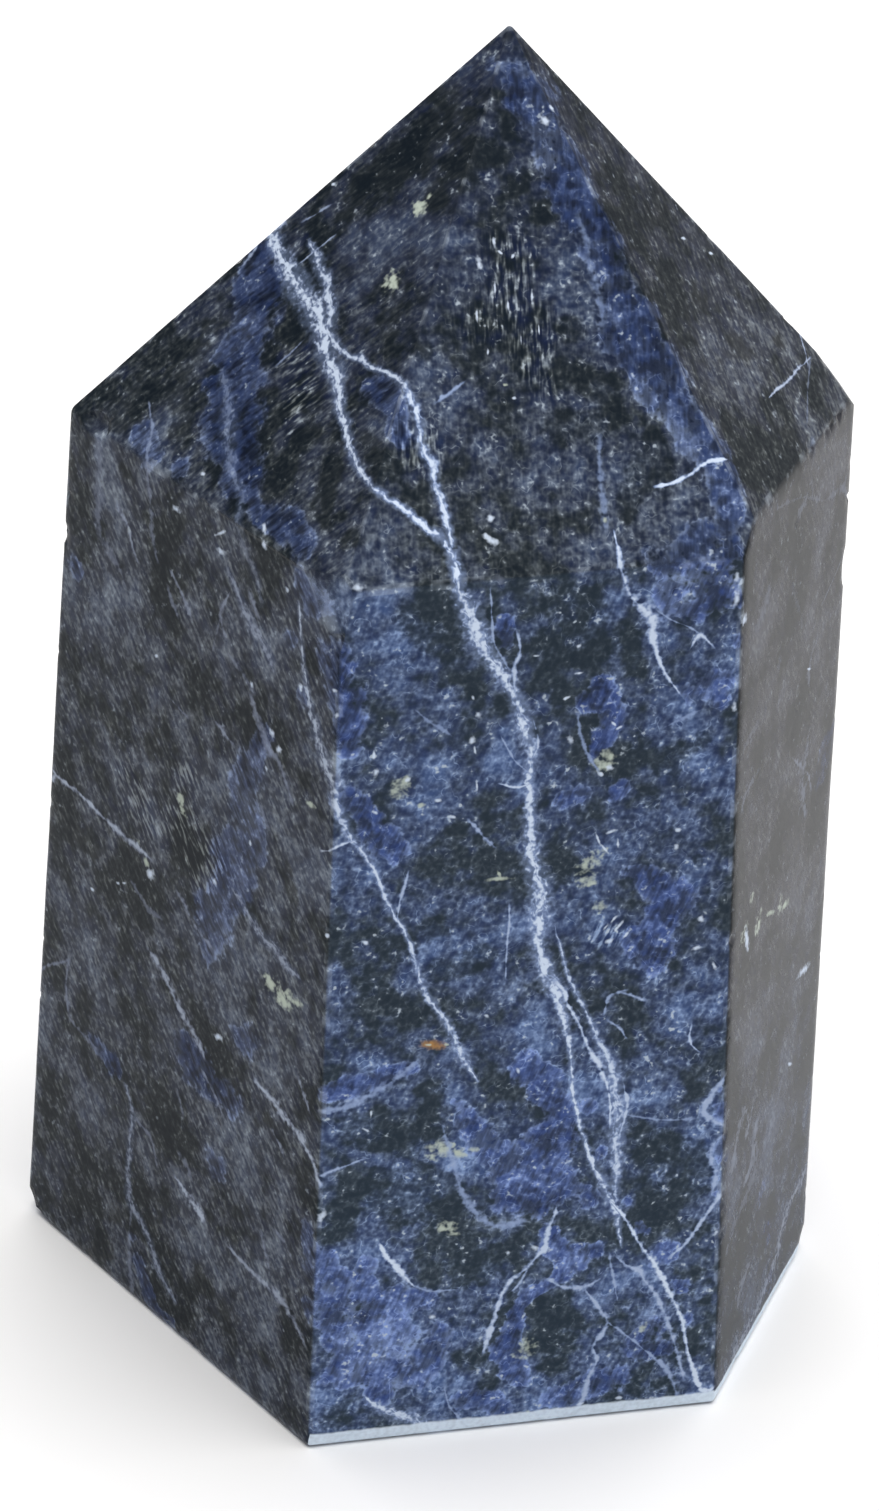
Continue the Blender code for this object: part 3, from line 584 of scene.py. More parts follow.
SCRATCHED_PATCHES = {
    "left side": [(125, 780, 22), (150, 810, 34), (190, 830, 30), (200, 870, 26), (215, 850, 20), (185, 780, 22)],
    "front slope": [(500, 250, 30), (510, 290, 34), (530, 340, 30), (540, 380, 20), (480, 320, 24), (420, 450, 24)],
    "knot on the front": [(613, 929, 18)],
    "left slope": [(300, 400, 26), (290, 360, 18), (310, 250, 16)],
}

# %% [markdown]
# The photograph shows three of the six sides. The veins that leave its edges go on round the stone, and
# the hidden sides have veins of their own, noted by turn round the axis in degrees, height in mm and
# full width in mm. Small threads, grains and patches are scattered over those sides by a seeded random
# walk, as many to the square centimetre as on the sides that are seen, so that all sides look alike.

# %% The veins of the hidden sides
HIDDEN_BANDS = {
    "main vein over the back": (0.9, [(262, 76.5, 0.6), (250, 73, 0.9), (238, 68, 1.1), (231, 62, 1.0), (226, 55, 0.8),
                                      (221, 47, 1.0), (224, 40, 1.1), (219, 31, 0.8), (214, 22, 0.6), (217, 12, 0.5)]),
    "broad vein of the back": (0.85, [(176, 80, 0.3), (170, 74, 0.6), (173, 66, 0.9), (164, 58, 0.7), (158, 50, 0.6),
                                      (161, 41, 1.0), (154, 33, 1.2), (150, 25, 0.9), (153, 16, 0.5), (147, 7, 0.6),
                                      (145, 0.6, 0.3)]),
    "branch of the back": (0.7, [(163, 57, 0.3), (171, 49, 0.6), (178, 42, 0.8), (183, 34, 0.6), (181, 24, 0.5)]),
    "vein of the right back": (0.75, [(112, 72, 0.3), (106, 64, 0.5), (109, 55, 0.7), (101, 46, 0.5), (97, 38, 0.7),
                                      (99, 29, 0.9), (92, 20, 0.6), (90, 11, 0.4)]),
}
HIDDEN_THREADS = {
    "left vein goes on": (0.7, [(261.6, 36.4, 0.3), (255, 33.5, 0.3), (248, 32, 0.25), (240, 28, 0.2)]),
    "low left line goes on": (0.45, [(265.4, 22.9, 0.3), (259, 20, 0.3), (252, 15, 0.3), (246, 9, 0.2)]),
    "left slope streak goes on": (0.6, [(264, 74.1, 0.4), (256, 77, 0.3), (246, 79, 0.2)]),
    "crossing line goes on": (0.4, [(75.7, 59.6, 0.5), (84, 57, 0.4), (93, 58, 0.3), (101, 61, 0.3), (110, 60, 0.2)]),
    "long line goes on": (0.5, [(72.9, 6.7, 0.3), (79, 10, 0.3), (87, 15, 0.4), (94, 22, 0.2)]),
    "slope crack goes on": (0.7, [(76.8, 68.1, 0.2), (86, 69, 0.25), (97, 66, 0.2), (108, 66, 0.15)]),
    "crack of the back slope": (0.8, [(200, 64, 0.15), (190, 67, 0.25), (178, 66, 0.2), (166, 69, 0.2)]),
    "rim of the back patch": (0.6, [(208, 24, 0.2), (203, 19, 0.3), (196, 17, 0.35), (188, 18, 0.25), (182, 14, 0.15)]),
    "bright bar of the back": (0.9, [(193, 42, 0.15), (191, 38, 0.4), (188, 34, 0.4), (187, 31, 0.15)]),
    "thin upright of the back": (0.55, [(167, 22, 0.15), (170, 15, 0.25), (169, 8, 0.25), (172, 1, 0.15)]),
    "line of the right back": (0.6, [(118, 50, 0.15), (122, 41, 0.25), (120, 30, 0.3), (126, 20, 0.2), (124, 12, 0.15)]),
    "cross line of the right back": (0.5, [(128, 34, 0.15), (120, 32, 0.2), (108, 33, 0.2), (98, 36, 0.15)]),
    "line of the left back": (0.65, [(243, 52, 0.15), (240, 44, 0.3), (243, 36, 0.3), (238, 24, 0.2)]),
    "arc of the left back": (0.5, [(235, 17, 0.15), (229, 13, 0.25), (222, 14, 0.25), (216, 19, 0.15)]),
}

# %% Small marks scattered over the hidden sides
HIDDEN_TURNS = (82.0, 256.0)
FOOT_HEIGHT, SHOULDER_HEIGHT, TOP_HEIGHT = 2.0, 60.0, 82.0
scatter = random.Random(41)


def hidden_place():
    """A turn and a height on the hidden sides, fewer of them on the narrow slopes."""
    turn = scatter.uniform(*HIDDEN_TURNS)
    if scatter.random() < 0.8:
        return turn, scatter.uniform(FOOT_HEIGHT, SHOULDER_HEIGHT)
    return turn, SHOULDER_HEIGHT + (TOP_HEIGHT - SHOULDER_HEIGHT) * scatter.random() ** 1.5


def wander(turn, height, steps, stride, spread):
    """Places on a crooked, mostly upright walk down the stone."""
    places = [(turn, height)]
    slant = scatter.gauss(0.0, 1.4)
    for _ in range(steps):
        turn += slant + scatter.gauss(0.0, spread)
        height = min(max(height - stride * scatter.uniform(0.6, 1.3), 0.6), TOP_HEIGHT)
        places.append((turn, height))
    return places


hidden_walks = []
for _ in range(64):
    walk = wander(*hidden_place(), scatter.randint(2, 5), scatter.choice((1.0, 1.6, 3.2)), 1.6)
    width = scatter.uniform(0.14, 0.34)
    tapered = [(turn, height, width * (0.5 if place in (0, len(walk) - 1) else 1.0))
               for place, (turn, height) in enumerate(walk)]
    hidden_walks.append((scatter.uniform(0.35, 0.85), tapered))
hidden_grains = []
for _ in range(150):
    size = 0.28 + 0.5 * scatter.random() ** 3
    tint = 1.0 if scatter.random() < 0.2 else 0.0
    slant = scatter.uniform(40.0, 120.0)
    hidden_grains.append((hidden_place(), size, size * scatter.uniform(0.35, 0.9), slant, tint))
hidden_patches = {"blue": [], "dark": [], "pale": [], "knot": [], "scratched": []}
for kind, count, radius in (("blue", 64, 1.35), ("dark", 48, 1.6), ("pale", 16, 0.6), ("knot", 12, 0.8),
                            ("scratched", 9, 2.0)):
    for _ in range(count):
        chain = wander(*hidden_place(), scatter.randint(1, 4), radius * 1.2, 3.0)
        hidden_patches[kind].append([(turn, height, radius * scatter.uniform(0.5, 1.4)) for turn, height in chain])
print(len(hidden_walks), "threads,", len(hidden_grains), "grains and",
      sum(len(chains) for chains in hidden_patches.values()), "patches scattered on the hidden sides")

# %% [markdown]
# Next, each vein becomes a course on the stone: a smooth curve through its places, in steps of about a third of a
# millimetre, each step put back on the skin. A width given in pixels is measured across the vein as the camera sees it,
# so it is turned into millimetres along the facet, which may be seen at a slant.

# %% Courses on the stone
COURSE_STEP = 0.3
skin_normals = {}


def on_skin(place):
    """The nearest point of the stone's skin and its normal."""
    near, normal, _, _ = skin.find_nearest(place)
    return near, normal


def width_on_facet(place, ahead, width):
    """A width in pixels across a line that runs ahead, as millimetres along the stone's surface."""
    near, normal = on_skin(place)
    across = ahead.cross(normal).normalized()
    here = pixel_of(near)
    line = (pixel_of(near + ahead.normalized() * MM) - here).normalized()
    offset = pixel_of(near + across * MM) - here
    seen = abs(offset.x * line.y - offset.y * line.x)
    return width / max(seen, 4.0)


def places_seen(picks):
    """Listed pixels with widths, as points of the stone with widths in mm."""
    places = [seen_at(x, y) for x, y, _ in picks]
    widths = []
    for number, (_, _, width) in enumerate(picks):
        ahead = places[min(number + 1, len(places) - 1)] - places[max(number - 1, 0)]
        widths.append(width_on_facet(places[number], ahead, width))
    return places, widths


def places_reached(picks):
    """Places by turn and height with widths in mm, as points of the stone."""
    return [reached_at(turn, height) for turn, height, _ in picks], [width for _, _, width in picks]


def course(places, widths):
    """A smooth curve through the places: its points and normals, and the half width at each, in mm."""
    ends = [places[0] * 2.0 - places[1]] + list(places) + [places[-1] * 2.0 - places[-2]]
    line, normals, halves = [], [], []
    for number in range(len(places) - 1):
        a, b, c, d = ends[number:number + 4]
        steps = max(1, round((c - b).length / MM / COURSE_STEP))
        for step in range(steps + (number == len(places) - 2)):
            t = step / steps
            curve = (b * 2.0 + (c - a) * t + (a * 2.0 - b * 5.0 + c * 4.0 - d) * t**2
                     + (b * 3.0 - a - c * 3.0 + d) * t**3) * 0.5
            near, normal = on_skin(curve)
            line.append(near / MM)
            normals.append(normal)
            halves.append((widths[number] * (1.0 - t) + widths[number + 1] * t) / 2.0)
    return np.array(line), np.array(normals), np.array(halves)


# %% [markdown]
# The finish has to know, at every point of the stone, how far along and across the nearest vein it
# lies. Both are worked out here for the points of the mesh near each vein, and kept on the mesh as a
# colour attribute with four numbers: along, across, half width and strength. Between the points the
# numbers run straight, and so does the distance to a straight line on a flat facet, so a vein far
# thinner than the triangles still comes out sharp. Two veins that lie close together would mix their
# numbers, so they go on different layers.

# %% Distances along and across the veins, on layers
FADE = 0.45
place_mm = np.array([tuple(point) for point in points]) / MM


class Layers:
    """Colour attributes that hold four numbers for each point, with marks that don't overlap on one layer."""

    def __init__(self, name, most):
        self.name = name
        self.most = most
        self.values = []
        self.taken = []
        self.left_out = 0

    def add(self, rows, numbers):
        """Put a mark's numbers on the first layer where its points are free."""
        for values, taken in zip(self.values, self.taken):
            if not taken[rows].any():
                break
        else:
            if len(self.values) == self.most:
                self.left_out += 1
                return
            values = np.zeros((len(place_mm), 4), np.float32)
            taken = np.zeros(len(place_mm), bool)
            self.values.append(values)
            self.taken.append(taken)
        values[rows] = numbers
        taken[rows] = True

    def keep_on(self, shape):
        """Write the layers on a mesh, and return their names."""
        names = [f"{self.name}_{number + 1}" for number in range(len(self.values))]
        for name, values in zip(names, self.values):
            shape.attributes.new(name, "FLOAT_COLOR", "POINT").data.foreach_set("color", values.ravel())
        print(self.name, "layers:", len(names), "left out:", self.left_out)
        return names


def near_box(low, high, margin):
    """The mesh points within a box grown by a margin, in mm."""
    return np.nonzero(((place_mm > low - margin) & (place_mm < high + margin)).all(axis=1))[0]


def fall(value, start, end):
    """1 up to start, 0 from end, and a smooth slope between."""
    t = np.clip((end - value) / (end - start), 0.0, 1.0)
    return t * t * (3.0 - 2.0 * t)


def lay_vein(layers, strength, places, widths):
    """Work out the four numbers for the points near one vein."""
    line, normals, halves = course(places, widths)
    reach = 1.25 * halves.max() + 0.35
    rows = near_box(line.min(axis=0), line.max(axis=0), reach + 2.0 * FADE)
    steps = line[1:] - line[:-1]
    lengths = np.linalg.norm(steps, axis=1)
    ahead = steps / lengths[:, None]
    side = np.cross(ahead, normals[:-1])
    side /= np.linalg.norm(side, axis=1)[:, None]
    start = np.concatenate(([0.0], np.cumsum(lengths)))
    offset = place_mm[rows][:, None, :] - line[None, :-1]
    run = (offset * ahead).sum(axis=2)
    nearest = np.clip(run, 0.0, lengths)
    away = np.linalg.norm(offset - nearest[..., None] * ahead, axis=2)
    best = away.argmin(axis=1)
    pick = np.arange(len(rows))
    near = away[pick, best] < reach + 2.0 * FADE
    rows, best, pick = rows[near], best[near], pick[near]
    run = run[pick, best]
    past_start = np.where(best == 0, np.maximum(-run, 0.0), 0.0)
    past_end = np.where(best == len(lengths) - 1, np.maximum(run - lengths[-1], 0.0), 0.0)
    free = (best == 0) & (run < 0.0) | (best == len(lengths) - 1) & (run > lengths[-1])
    run = np.where(free, run, np.clip(run, 0.0, lengths[best]))
    rest = offset[pick, best] - run[:, None] * ahead[best]
    across = np.linalg.norm(rest, axis=1) * np.sign((rest * side[best]).sum(axis=1))
    part = np.clip(run / lengths[best], 0.0, 1.0)
    half = halves[best] * (1.0 - part) + halves[best + 1] * part
    shown = strength * fall(np.abs(across), reach, reach + FADE) * fall(past_start + past_end, 0.05, 0.5)
    layers.add(rows, np.stack([start[best] + run, across, half, shown], axis=1))


bands = Layers("band", 4)
threads = Layers("thread", 5)
for strength, picks in BROAD_VEINS.values():
    lay_vein(bands, strength, *places_seen(picks))
for strength, picks in HIDDEN_BANDS.values():
    lay_vein(bands, strength, *places_reached(picks))
for strength, picks in THREADS.values():
    lay_vein(threads, strength, *places_seen(picks))
for strength, picks in list(HIDDEN_THREADS.values()) + hidden_walks:
    lay_vein(threads, strength, *places_reached(picks))
band_names = bands.keep_on(mesh)
thread_names = threads.keep_on(mesh)

# %% [markdown]
# A grain is an ellipse that lies on its facet. Each point near it gets two numbers, its distance along
# the grain's length and across it, in half lengths and half widths. Where the sum of their squares is
# below one lies the grain. The third number is its tint, 0 for white, 1 for cream and 2 for rusty, and
# the fourth is its strength.

# %% Ellipses for the grains
MORE_ROOM = 0.4
grains = Layers("grain", 5)


def lay_grain(middle, length, width, ahead, tint):
    """Work out the four numbers for the points near one grain. Lengths are in mm."""
    near, normal = on_skin(middle)
    ahead = (ahead - normal * ahead.dot(normal)).normalized()
    side = normal.cross(ahead)
    centre = np.array(near) / MM
    reach = length / 2.0 + MORE_ROOM
    rows = near_box(centre, centre, reach + 2.0 * FADE)
    offset = place_mm[rows] - centre
    away = np.linalg.norm(offset, axis=1)
    rows, offset, away = rows[away < reach + 2.0 * FADE], offset[away < reach + 2.0 * FADE], away[away < reach + 2.0 * FADE]
    along = offset @ np.array(ahead) / (length / 2.0)
    across = offset @ np.array(side) / (width / 2.0)
    grains.add(rows, np.stack([along, across, np.full(len(rows), tint), fall(away, reach, reach + FADE)], axis=1))


for tint, picks in ((2.0, RUSTY_GRAINS), (1.0, CREAM_GRAINS), (0.0, WHITE_GRAINS)):
    for x, y, length, width, slant in picks:
        middle = seen_at(x, y)
        turn = math.radians(slant)
        beside = seen_at(x + 3.0 * math.cos(turn), y + 3.0 * math.sin(turn))
        ahead = beside - middle
        if ahead.length < 1e-6:
            continue
        near, normal = on_skin(middle)
        long_mm = width_on_facet(middle, ahead.cross(normal), length)
        lay_grain(middle, long_mm, width_on_facet(middle, ahead, width), ahead, tint)
for (turn, height), length, width, slant, tint in hidden_grains:
    middle = reached_at(turn, height)
    level, rise = flat_axes(on_skin(middle)[1])
    angle = math.radians(slant)
    lay_grain(middle, length, width, level * math.cos(angle) + rise * math.sin(angle), tint)
grain_names = grains.keep_on(mesh)

# %% [markdown]
# The patches are soft, so one number for each point and kind is enough. A patch is a chain of discs,
# and between two discs lies the tube that joins them. The value is 1 well inside and falls to 0 a
# little outside the rim.

# %% Soft fields for the patches
CORE, RIM = 0.45, 1.35
JOINED = 1.5
RAGGED = ((0.30, 1.3), (0.9, 0.7), (2.2, 0.28))
WIDE_PATCH = 2.0
torn_mm = np.zeros_like(place_mm)
for grain, reach in RAGGED:
    torn_mm += np.array([noise.noise_vector(Vector(place) * grain) for place in place_mm]) * reach


def lay_patch(field, chain):
    """Raise a field along a chain of (middle, radius), in mm. Discs far apart aren't joined. Each place
    is looked up a little aside, by noise, so the rims are torn, and small discs are torn less."""
    for (start, r0), (end, r1) in zip(chain, chain[1:] + chain[-1:]):
        if (end - start).length / MM > (r0 + r1) * JOINED:
            end, r1 = start, r0
        a, b = np.array(start) / MM, np.array(end) / MM
        rows = near_box(np.minimum(a, b), np.maximum(a, b), RIM * max(r0, r1) + 1.5)
        offset = place_mm[rows] + torn_mm[rows] * min(1.0, max(r0, r1) / WIDE_PATCH) - a
        step = b - a
        t = np.clip(offset @ step / max(step @ step, 1e-6), 0.0, 1.0)
        away = np.linalg.norm(offset - t[:, None] * step, axis=1) / (r0 + (r1 - r0) * t)
        field[rows] = np.maximum(field[rows], fall(away, CORE, RIM))


fields = {kind: np.zeros(len(place_mm), np.float32) for kind in hidden_patches}
seen_patches = {"blue": BLUE_PATCHES, "dark": DARK_PATCHES, "pale": PALE_PATCHES, "knot": KNOT_PATCHES,
                "scratched": SCRATCHED_PATCHES}
for kind, field in fields.items():
    for picks in seen_patches[kind].values():
        places = [seen_at(x, y) for x, y, _ in picks]
        lay_patch(field, [(place, radius * (place - eye).dot(look) / FOCAL_PIXELS / MM)
                          for place, (_, _, radius) in zip(places, picks)])
    for chain in hidden_patches[kind]:
        lay_patch(field, [(reached_at(turn, height), radius) for turn, height, radius in chain])
ground = np.stack([fields["blue"] - fields["dark"], fields["pale"], fields["knot"], fields["scratched"]], axis=1)
mesh.attributes.new("ground", "FLOAT_COLOR", "POINT").data.foreach_set("color", ground.astype(np.float32).ravel())
print("points in blue patches:", int((fields["blue"] > 0.5).sum()), "in dark ones:", int((fields["dark"] > 0.5).sum()))

# %% [markdown]
# Grinding and polishing leave fine scratches that run the same way over a whole facet, so each point
# also gets its place across and up its own facet, and a number for the facet. The last number wanted
# is how close a point is to an arris, because arrises and the foot wear first.

# %% Facet coordinates and closeness to an arris
ARRIS_REACH = 1.2
normals = np.zeros(len(place_mm) * 3, np.float32)
mesh.vertices.foreach_get("normal", normals)
normals = normals.reshape(-1, 3)
planes = np.array([tuple(normal) for normal in facet_looks])
facing = normals @ planes.T
facet = facing.argmax(axis=1)
flat_part = facing.max(axis=1) > math.cos(math.radians(1.0))
brush = np.zeros((len(place_mm), 3), np.float32)
for number, normal in enumerate(facet_looks):
    across, rise = flat_axes(normal)
    here = facet == number
    brush[here, 0] = place_mm[here] @ np.array(across)
    brush[here, 1] = place_mm[here] @ np.array(rise)
    brush[here, 2] = 100.0 * number
mesh.attributes.new("brush", "FLOAT_VECTOR", "POINT").data.foreach_set("vector", brush.ravel())
# Each side and each slope gets one row: how much pale frost it shows, how blue and how bright its colour is, how much
# painted warm sheen it gets (faint), how high the painted pale reflection of the table reaches at its foot (foot), and
# the slant of its polishing scratches. Frost and blueness are set face by face, and are partly the stone's own tone and
# partly painted light. Faint and foot are painted light.
ScratchToneAndSheen = namedtuple("ScratchToneAndSheen", "frosting blueness faint foot slant")
SIDE_SCRATCH_TONE_SHEEN = {0.0: ScratchToneAndSheen(0.02, 1.0, 0.0, 1.0, 20.0), 55.0: ScratchToneAndSheen(-1.4, -0.1, 1.0, 0.9, -35.0),
               106.0: ScratchToneAndSheen(0.1, 0.6, 0.2, 0.8, 12.0), 168.0: ScratchToneAndSheen(0.2, 0.8, 0.0, 0.7, -15.0),
               229.0: ScratchToneAndSheen(0.1, 0.7, 0.1, 0.9, 24.0), 295.0: ScratchToneAndSheen(-0.15, 0.10, 0.8, 0.12, -42.0)}
SLOPE_SCRATCH_TONE_SHEEN = {0.0: ScratchToneAndSheen(0.25, 0.25, 0.0, 0.0, 4.0), 55.0: ScratchToneAndSheen(-0.1, 0.0, 0.5, 0.0, 30.0),
                106.0: ScratchToneAndSheen(0.1, 0.3, 0.0, 0.0, 20.0), 168.0: ScratchToneAndSheen(0.1, 0.3, 0.0, 0.0, -8.0),
                229.0: ScratchToneAndSheen(0.0, 0.2, 0.0, 0.0, 10.0), 295.0: ScratchToneAndSheen(-0.25, 0.15, 0.4, 0.0, 28.0)}
facet_tone_and_sheen = np.zeros((len(place_mm), 4), np.float32)
for number, look in enumerate(facet_looks):
    here = facet == number
    turn = math.degrees(math.atan2(look.x, -look.y)) % 360.0
    facet_rows = SLOPE_SCRATCH_TONE_SHEEN if look.z > 0.3 else SIDE_SCRATCH_TONE_SHEEN
    nearest = min(facet_rows, key=lambda side: abs((side - turn + 180.0) % 360.0 - 180.0))
    facet_row = facet_rows[nearest]
    facet_tone_and_sheen[here] = (facet_row.frosting, facet_row.blueness, facet_row.faint, facet_row.foot if look.z > -0.3 else 0.0)
    # The slopes are painted with less pale frost towards the tip, so they are darker there.
    if look.z > 0.3:
        facet_tone_and_sheen[here, 0] += np.interp(place_mm[here][:, 2], (62.0, 86.0), (0.2, -0.9))
    # The front and right sides are painted bluer towards the foot, and the front paler too: a painted reflection of the
    # table near the stone.
    if nearest in (0.0, 55.0) and look.z <= 0.3:
        low = np.interp(place_mm[here][:, 2], (8.0, 34.0), (1.0, 0.0))
        facet_tone_and_sheen[here, 0] += low * (0.3 if nearest == 0.0 else 0.0)
        facet_tone_and_sheen[here, 1] += low * 0.3
    slant = math.radians(facet_row.slant)
    across, rise = brush[here, 0].copy(), brush[here, 1].copy()
    brush[here, 0] = across * math.cos(slant) - rise * math.sin(slant)
    brush[here, 1] = across * math.sin(slant) + rise * math.cos(slant)
mesh.attributes["brush"].data.foreach_set("vector", brush.ravel())
mesh.attributes.new("facet_tone_and_sheen", "FLOAT_COLOR", "POINT").data.foreach_set("color", facet_tone_and_sheen.ravel())
arris_points = np.nonzero(~flat_part)[0]
arris_tree = KDTree(len(arris_points))
for number in arris_points:
    arris_tree.insert(place_mm[number], int(number))
arris_tree.balance()
closeness = np.array([max(0.0, 1.0 - arris_tree.find(place)[2] / ARRIS_REACH) for place in place_mm], np.float32)
mesh.attributes.new("arris", "FLOAT", "POINT").data.foreach_set("value", closeness)
print(len(facet_looks), "facets,", len(arris_points), "points on the arrises")

# %% [markdown]
# Blender's node trees can be wired in plain Python. The class below wraps an output socket, so that
# sums such as 1 - mask add their Math nodes by themselves, and one method adds any other node: its
# settings come first, then what its sockets are linked to or set to.

# %% A wrapper for node sockets


class Wire:
    """An output socket of a node tree, on which + - * / and < add Math nodes."""

    def __init__(self, tree, socket=None):
        self.tree = tree
        self.socket = socket

    def node(self, kind, settings, sockets, output=0):
        """Add a node and return one of its outputs. Sockets go by name or number."""
        made = self.tree.nodes.new(kind)
        for name, value in settings.items():
            setattr(made, name, value)
        for name, value in sockets.items():
            if isinstance(value, Wire):
                self.tree.links.new(value.socket, made.inputs[name])
            else:
                made.inputs[name].default_value = value
        return Wire(self.tree, made.outputs[output] if len(made.outputs) else None)

    def math(self, operation, first, second=0.0):
        """One Math node."""
        return self.node("ShaderNodeMath", {"operation": operation}, {0: first, 1: second})

    def __add__(self, other):
        return self.math("ADD", self, other)

    def __radd__(self, other):
        return self.math("ADD", other, self)

    def __sub__(self, other):
        return self.math("SUBTRACT", self, other)

    def __rsub__(self, other):
        return self.math("SUBTRACT", other, self)

    def __mul__(self, other):
        return self.math("MULTIPLY", self, other)

    def __rmul__(self, other):
        return self.math("MULTIPLY", other, self)

    def __truediv__(self, other):
        return self.math("DIVIDE", self, other)

    def __abs__(self):
        return self.math("ABSOLUTE", self)

    def slope(self, start, end):
        """0 at start, 1 at end, and smooth between. Start may be above end."""
        return self.node("ShaderNodeMapRange", {"interpolation_type": "SMOOTHSTEP"},
                         {"Value": self, "From Min": start, "From Max": end})

    def clear(self):
        """Keep a number between 0 and 1."""
        return self.node("ShaderNodeMath", {"operation": "ADD", "use_clamp": True}, {0: self, 1: 0.0})

    def scaled(self, factor):
        """A vector times a number."""
        return self.node("ShaderNodeVectorMath", {"operation": "SCALE"}, {0: self, "Scale": factor})

    def times(self, factors):
        """A vector times another, part by part."""
        return self.node("ShaderNodeVectorMath", {"operation": "MULTIPLY"}, {0: self, 1: factors})

    def moved(self, offset):
        """A vector plus another."""
        return self.node("ShaderNodeVectorMath", {"operation": "ADD"}, {0: self, 1: offset})

    def vector(self, x, y, z=0.0):
        """A vector of three numbers."""
        return self.node("ShaderNodeCombineXYZ", {}, {0: x, 1: y, 2: z})

    def parts(self):
        """The three numbers of a vector."""
        split = self.node("ShaderNodeSeparateXYZ", {}, {0: self})
        outputs = split.socket.node.outputs
        return [Wire(self.tree, outputs[number]) for number in range(3)]

    def noise(self, scale, detail=2.0, roughness=0.5):
        """A noise of about 1 / scale in size at this place, from 0 to 1 around a half."""
        return self.node("ShaderNodeTexNoise", {}, {"Vector": self, "Scale": scale, "Detail": detail,
                                                     "Roughness": roughness})

    def colour(self, factor, other):
        """Mix this colour with another one by a factor."""
        return mix_colours(self, factor, self, other)


def mix_colours(wire, factor, first, second, blend="MIX"):
    """A Mix node for two colours, each a socket or a fixed colour."""
    return wire.node("ShaderNodeMix", {"data_type": "RGBA", "blend_type": blend},
                     {0: factor, 6: first, 7: second}, output=2)

# %% [markdown]
# A hand-polished stone isn't a perfect solid. Its faces wave by a few hundredths of a millimetre, it
# has small pits where grains broke out, and its arrises are nicked. All this follows rules, so a
# Geometry Nodes tree makes it: it moves each point of the fine mesh inwards along its normal, by
# amounts that come from noise, and by more on an arris. The foot stays flat so that the stone stands
# still. The result is turned into a plain mesh, and the modifier goes.

# %% The wear tree
WEAR_INPUTS = {"Wave depth": 0.035, "Pit depth": 0.05, "Nick depth": 0.16, "Arris wear": 0.03, "Foot height": 0.5,
               "Seed": 7.0}


def wear_tree(finish):
    """A tree that waves, pits and nicks the stone. Depths are in mm."""
    tree = bpy.data.node_groups.new("stone_wear", "GeometryNodeTree")
    tree.interface.new_socket("Geometry", in_out="INPUT", socket_type="NodeSocketGeometry")
    for name in WEAR_INPUTS:
        tree.interface.new_socket(name, in_out="INPUT", socket_type="NodeSocketFloat")
    tree.interface.new_socket("Geometry", in_out="OUTPUT", socket_type="NodeSocketGeometry")
    start = Wire(tree)
    entry = start.node("NodeGroupInput", {}, {}).socket.node.outputs
    given = {name: Wire(tree, entry[name]) for name in WEAR_INPUTS}
    place = start.node("GeometryNodeInputPosition", {}, {}).scaled(1.0 / MM)
    place = place.moved(start.vector(given["Seed"], given["Seed"] * 3.0, 0.0))
    arris = start.node("GeometryNodeInputNamedAttribute", {"data_type": "FLOAT"}, {"Name": "arris"})
    wave = (place.noise(0.11, 1.0) - 0.35).clear() * given["Wave depth"] * 2.0
    pit = place.noise(1.5, 3.0, 0.6).slope(0.70, 0.78) * given["Pit depth"]
    worn = arris.slope(0.55, 1.0) * (0.4 + place.noise(0.5, 2.0)) * given["Arris wear"]
    nick = place.noise(0.75, 2.0).slope(0.60, 0.72) * arris.slope(0.6, 1.0) * given["Nick depth"]
    height = place.parts()[2]
    free = height.slope(0.02, given["Foot height"])
    depth = (wave + pit + worn + nick) * free * -MM
    normal = start.node("GeometryNodeInputNormal", {}, {})
    moved = start.node("GeometryNodeSetPosition", {}, {"Geometry": Wire(tree, entry["Geometry"]),
                                                       "Offset": normal.scaled(depth)})
    real = start.node("GeometryNodeRealizeInstances", {}, {"Geometry": moved})
    dressed = start.node("GeometryNodeSetMaterial", {}, {"Geometry": real, "Material": finish})
    start.node("NodeGroupOutput", {}, {"Geometry": dressed})
    return tree

# %% [markdown]
# The finish is built up as the stone is. Under all lies the ground, dark glassy clouds of olive, navy
# and hazy blue. On it lie pale grains, which come in clumps of every size, from the whole face down to
# single flecks, and the bright ones are far brighter than the dull ones are dull. So noises of falling
# size are added up, and the sum goes through an exponential with a soft limit. Next come the patches of
# clear blue with pale margins, then the broad veins, frayed into white fibres, and the threads and
# grains of feldspar.

# %% Colours of the minerals
OLIVE = (0.0043, 0.0073, 0.0112, 1.0)
NAVY = (0.0046, 0.0082, 0.0240, 1.0)
HAZE_BLUE = (0.0090, 0.0185, 0.0520, 1.0)
# The next two colours are the thin frost of fine grains, which also tints the painted sheen on bluer faces, and the
# warm grey of that painted sheen: the table mirrored at a slant on the side faces.
THIN_FROST_AND_SHEEN = (0.150, 0.165, 0.158, 1.0)
WARM_SHEEN_TINT = (0.185, 0.165, 0.140, 1.0)
FROST_THICK = (0.225, 0.295, 0.410, 1.0)
FLECK = (0.46, 0.53, 0.60, 1.0)
PATCH_DEEP = (0.022, 0.040, 0.130, 1.0)
PATCH_FROST = (0.190, 0.255, 0.430, 1.0)
VEIN_BLUE = (0.24, 0.32, 0.52, 1.0)
VEIN_GREY = (0.18, 0.20, 0.26, 1.0)
WHITE = (0.60, 0.69, 0.83, 1.0)
CREAM = (0.45, 0.51, 0.44, 1.0)
RUSTY = (0.42, 0.22, 0.07, 1.0)
# Pale blue grey for chips and painted highlights on the arrises, and for the painted reflection of the table along the
# foot.
PALE_CHIP_AND_FOOT_SHEEN = (0.70, 0.80, 0.90, 1.0)


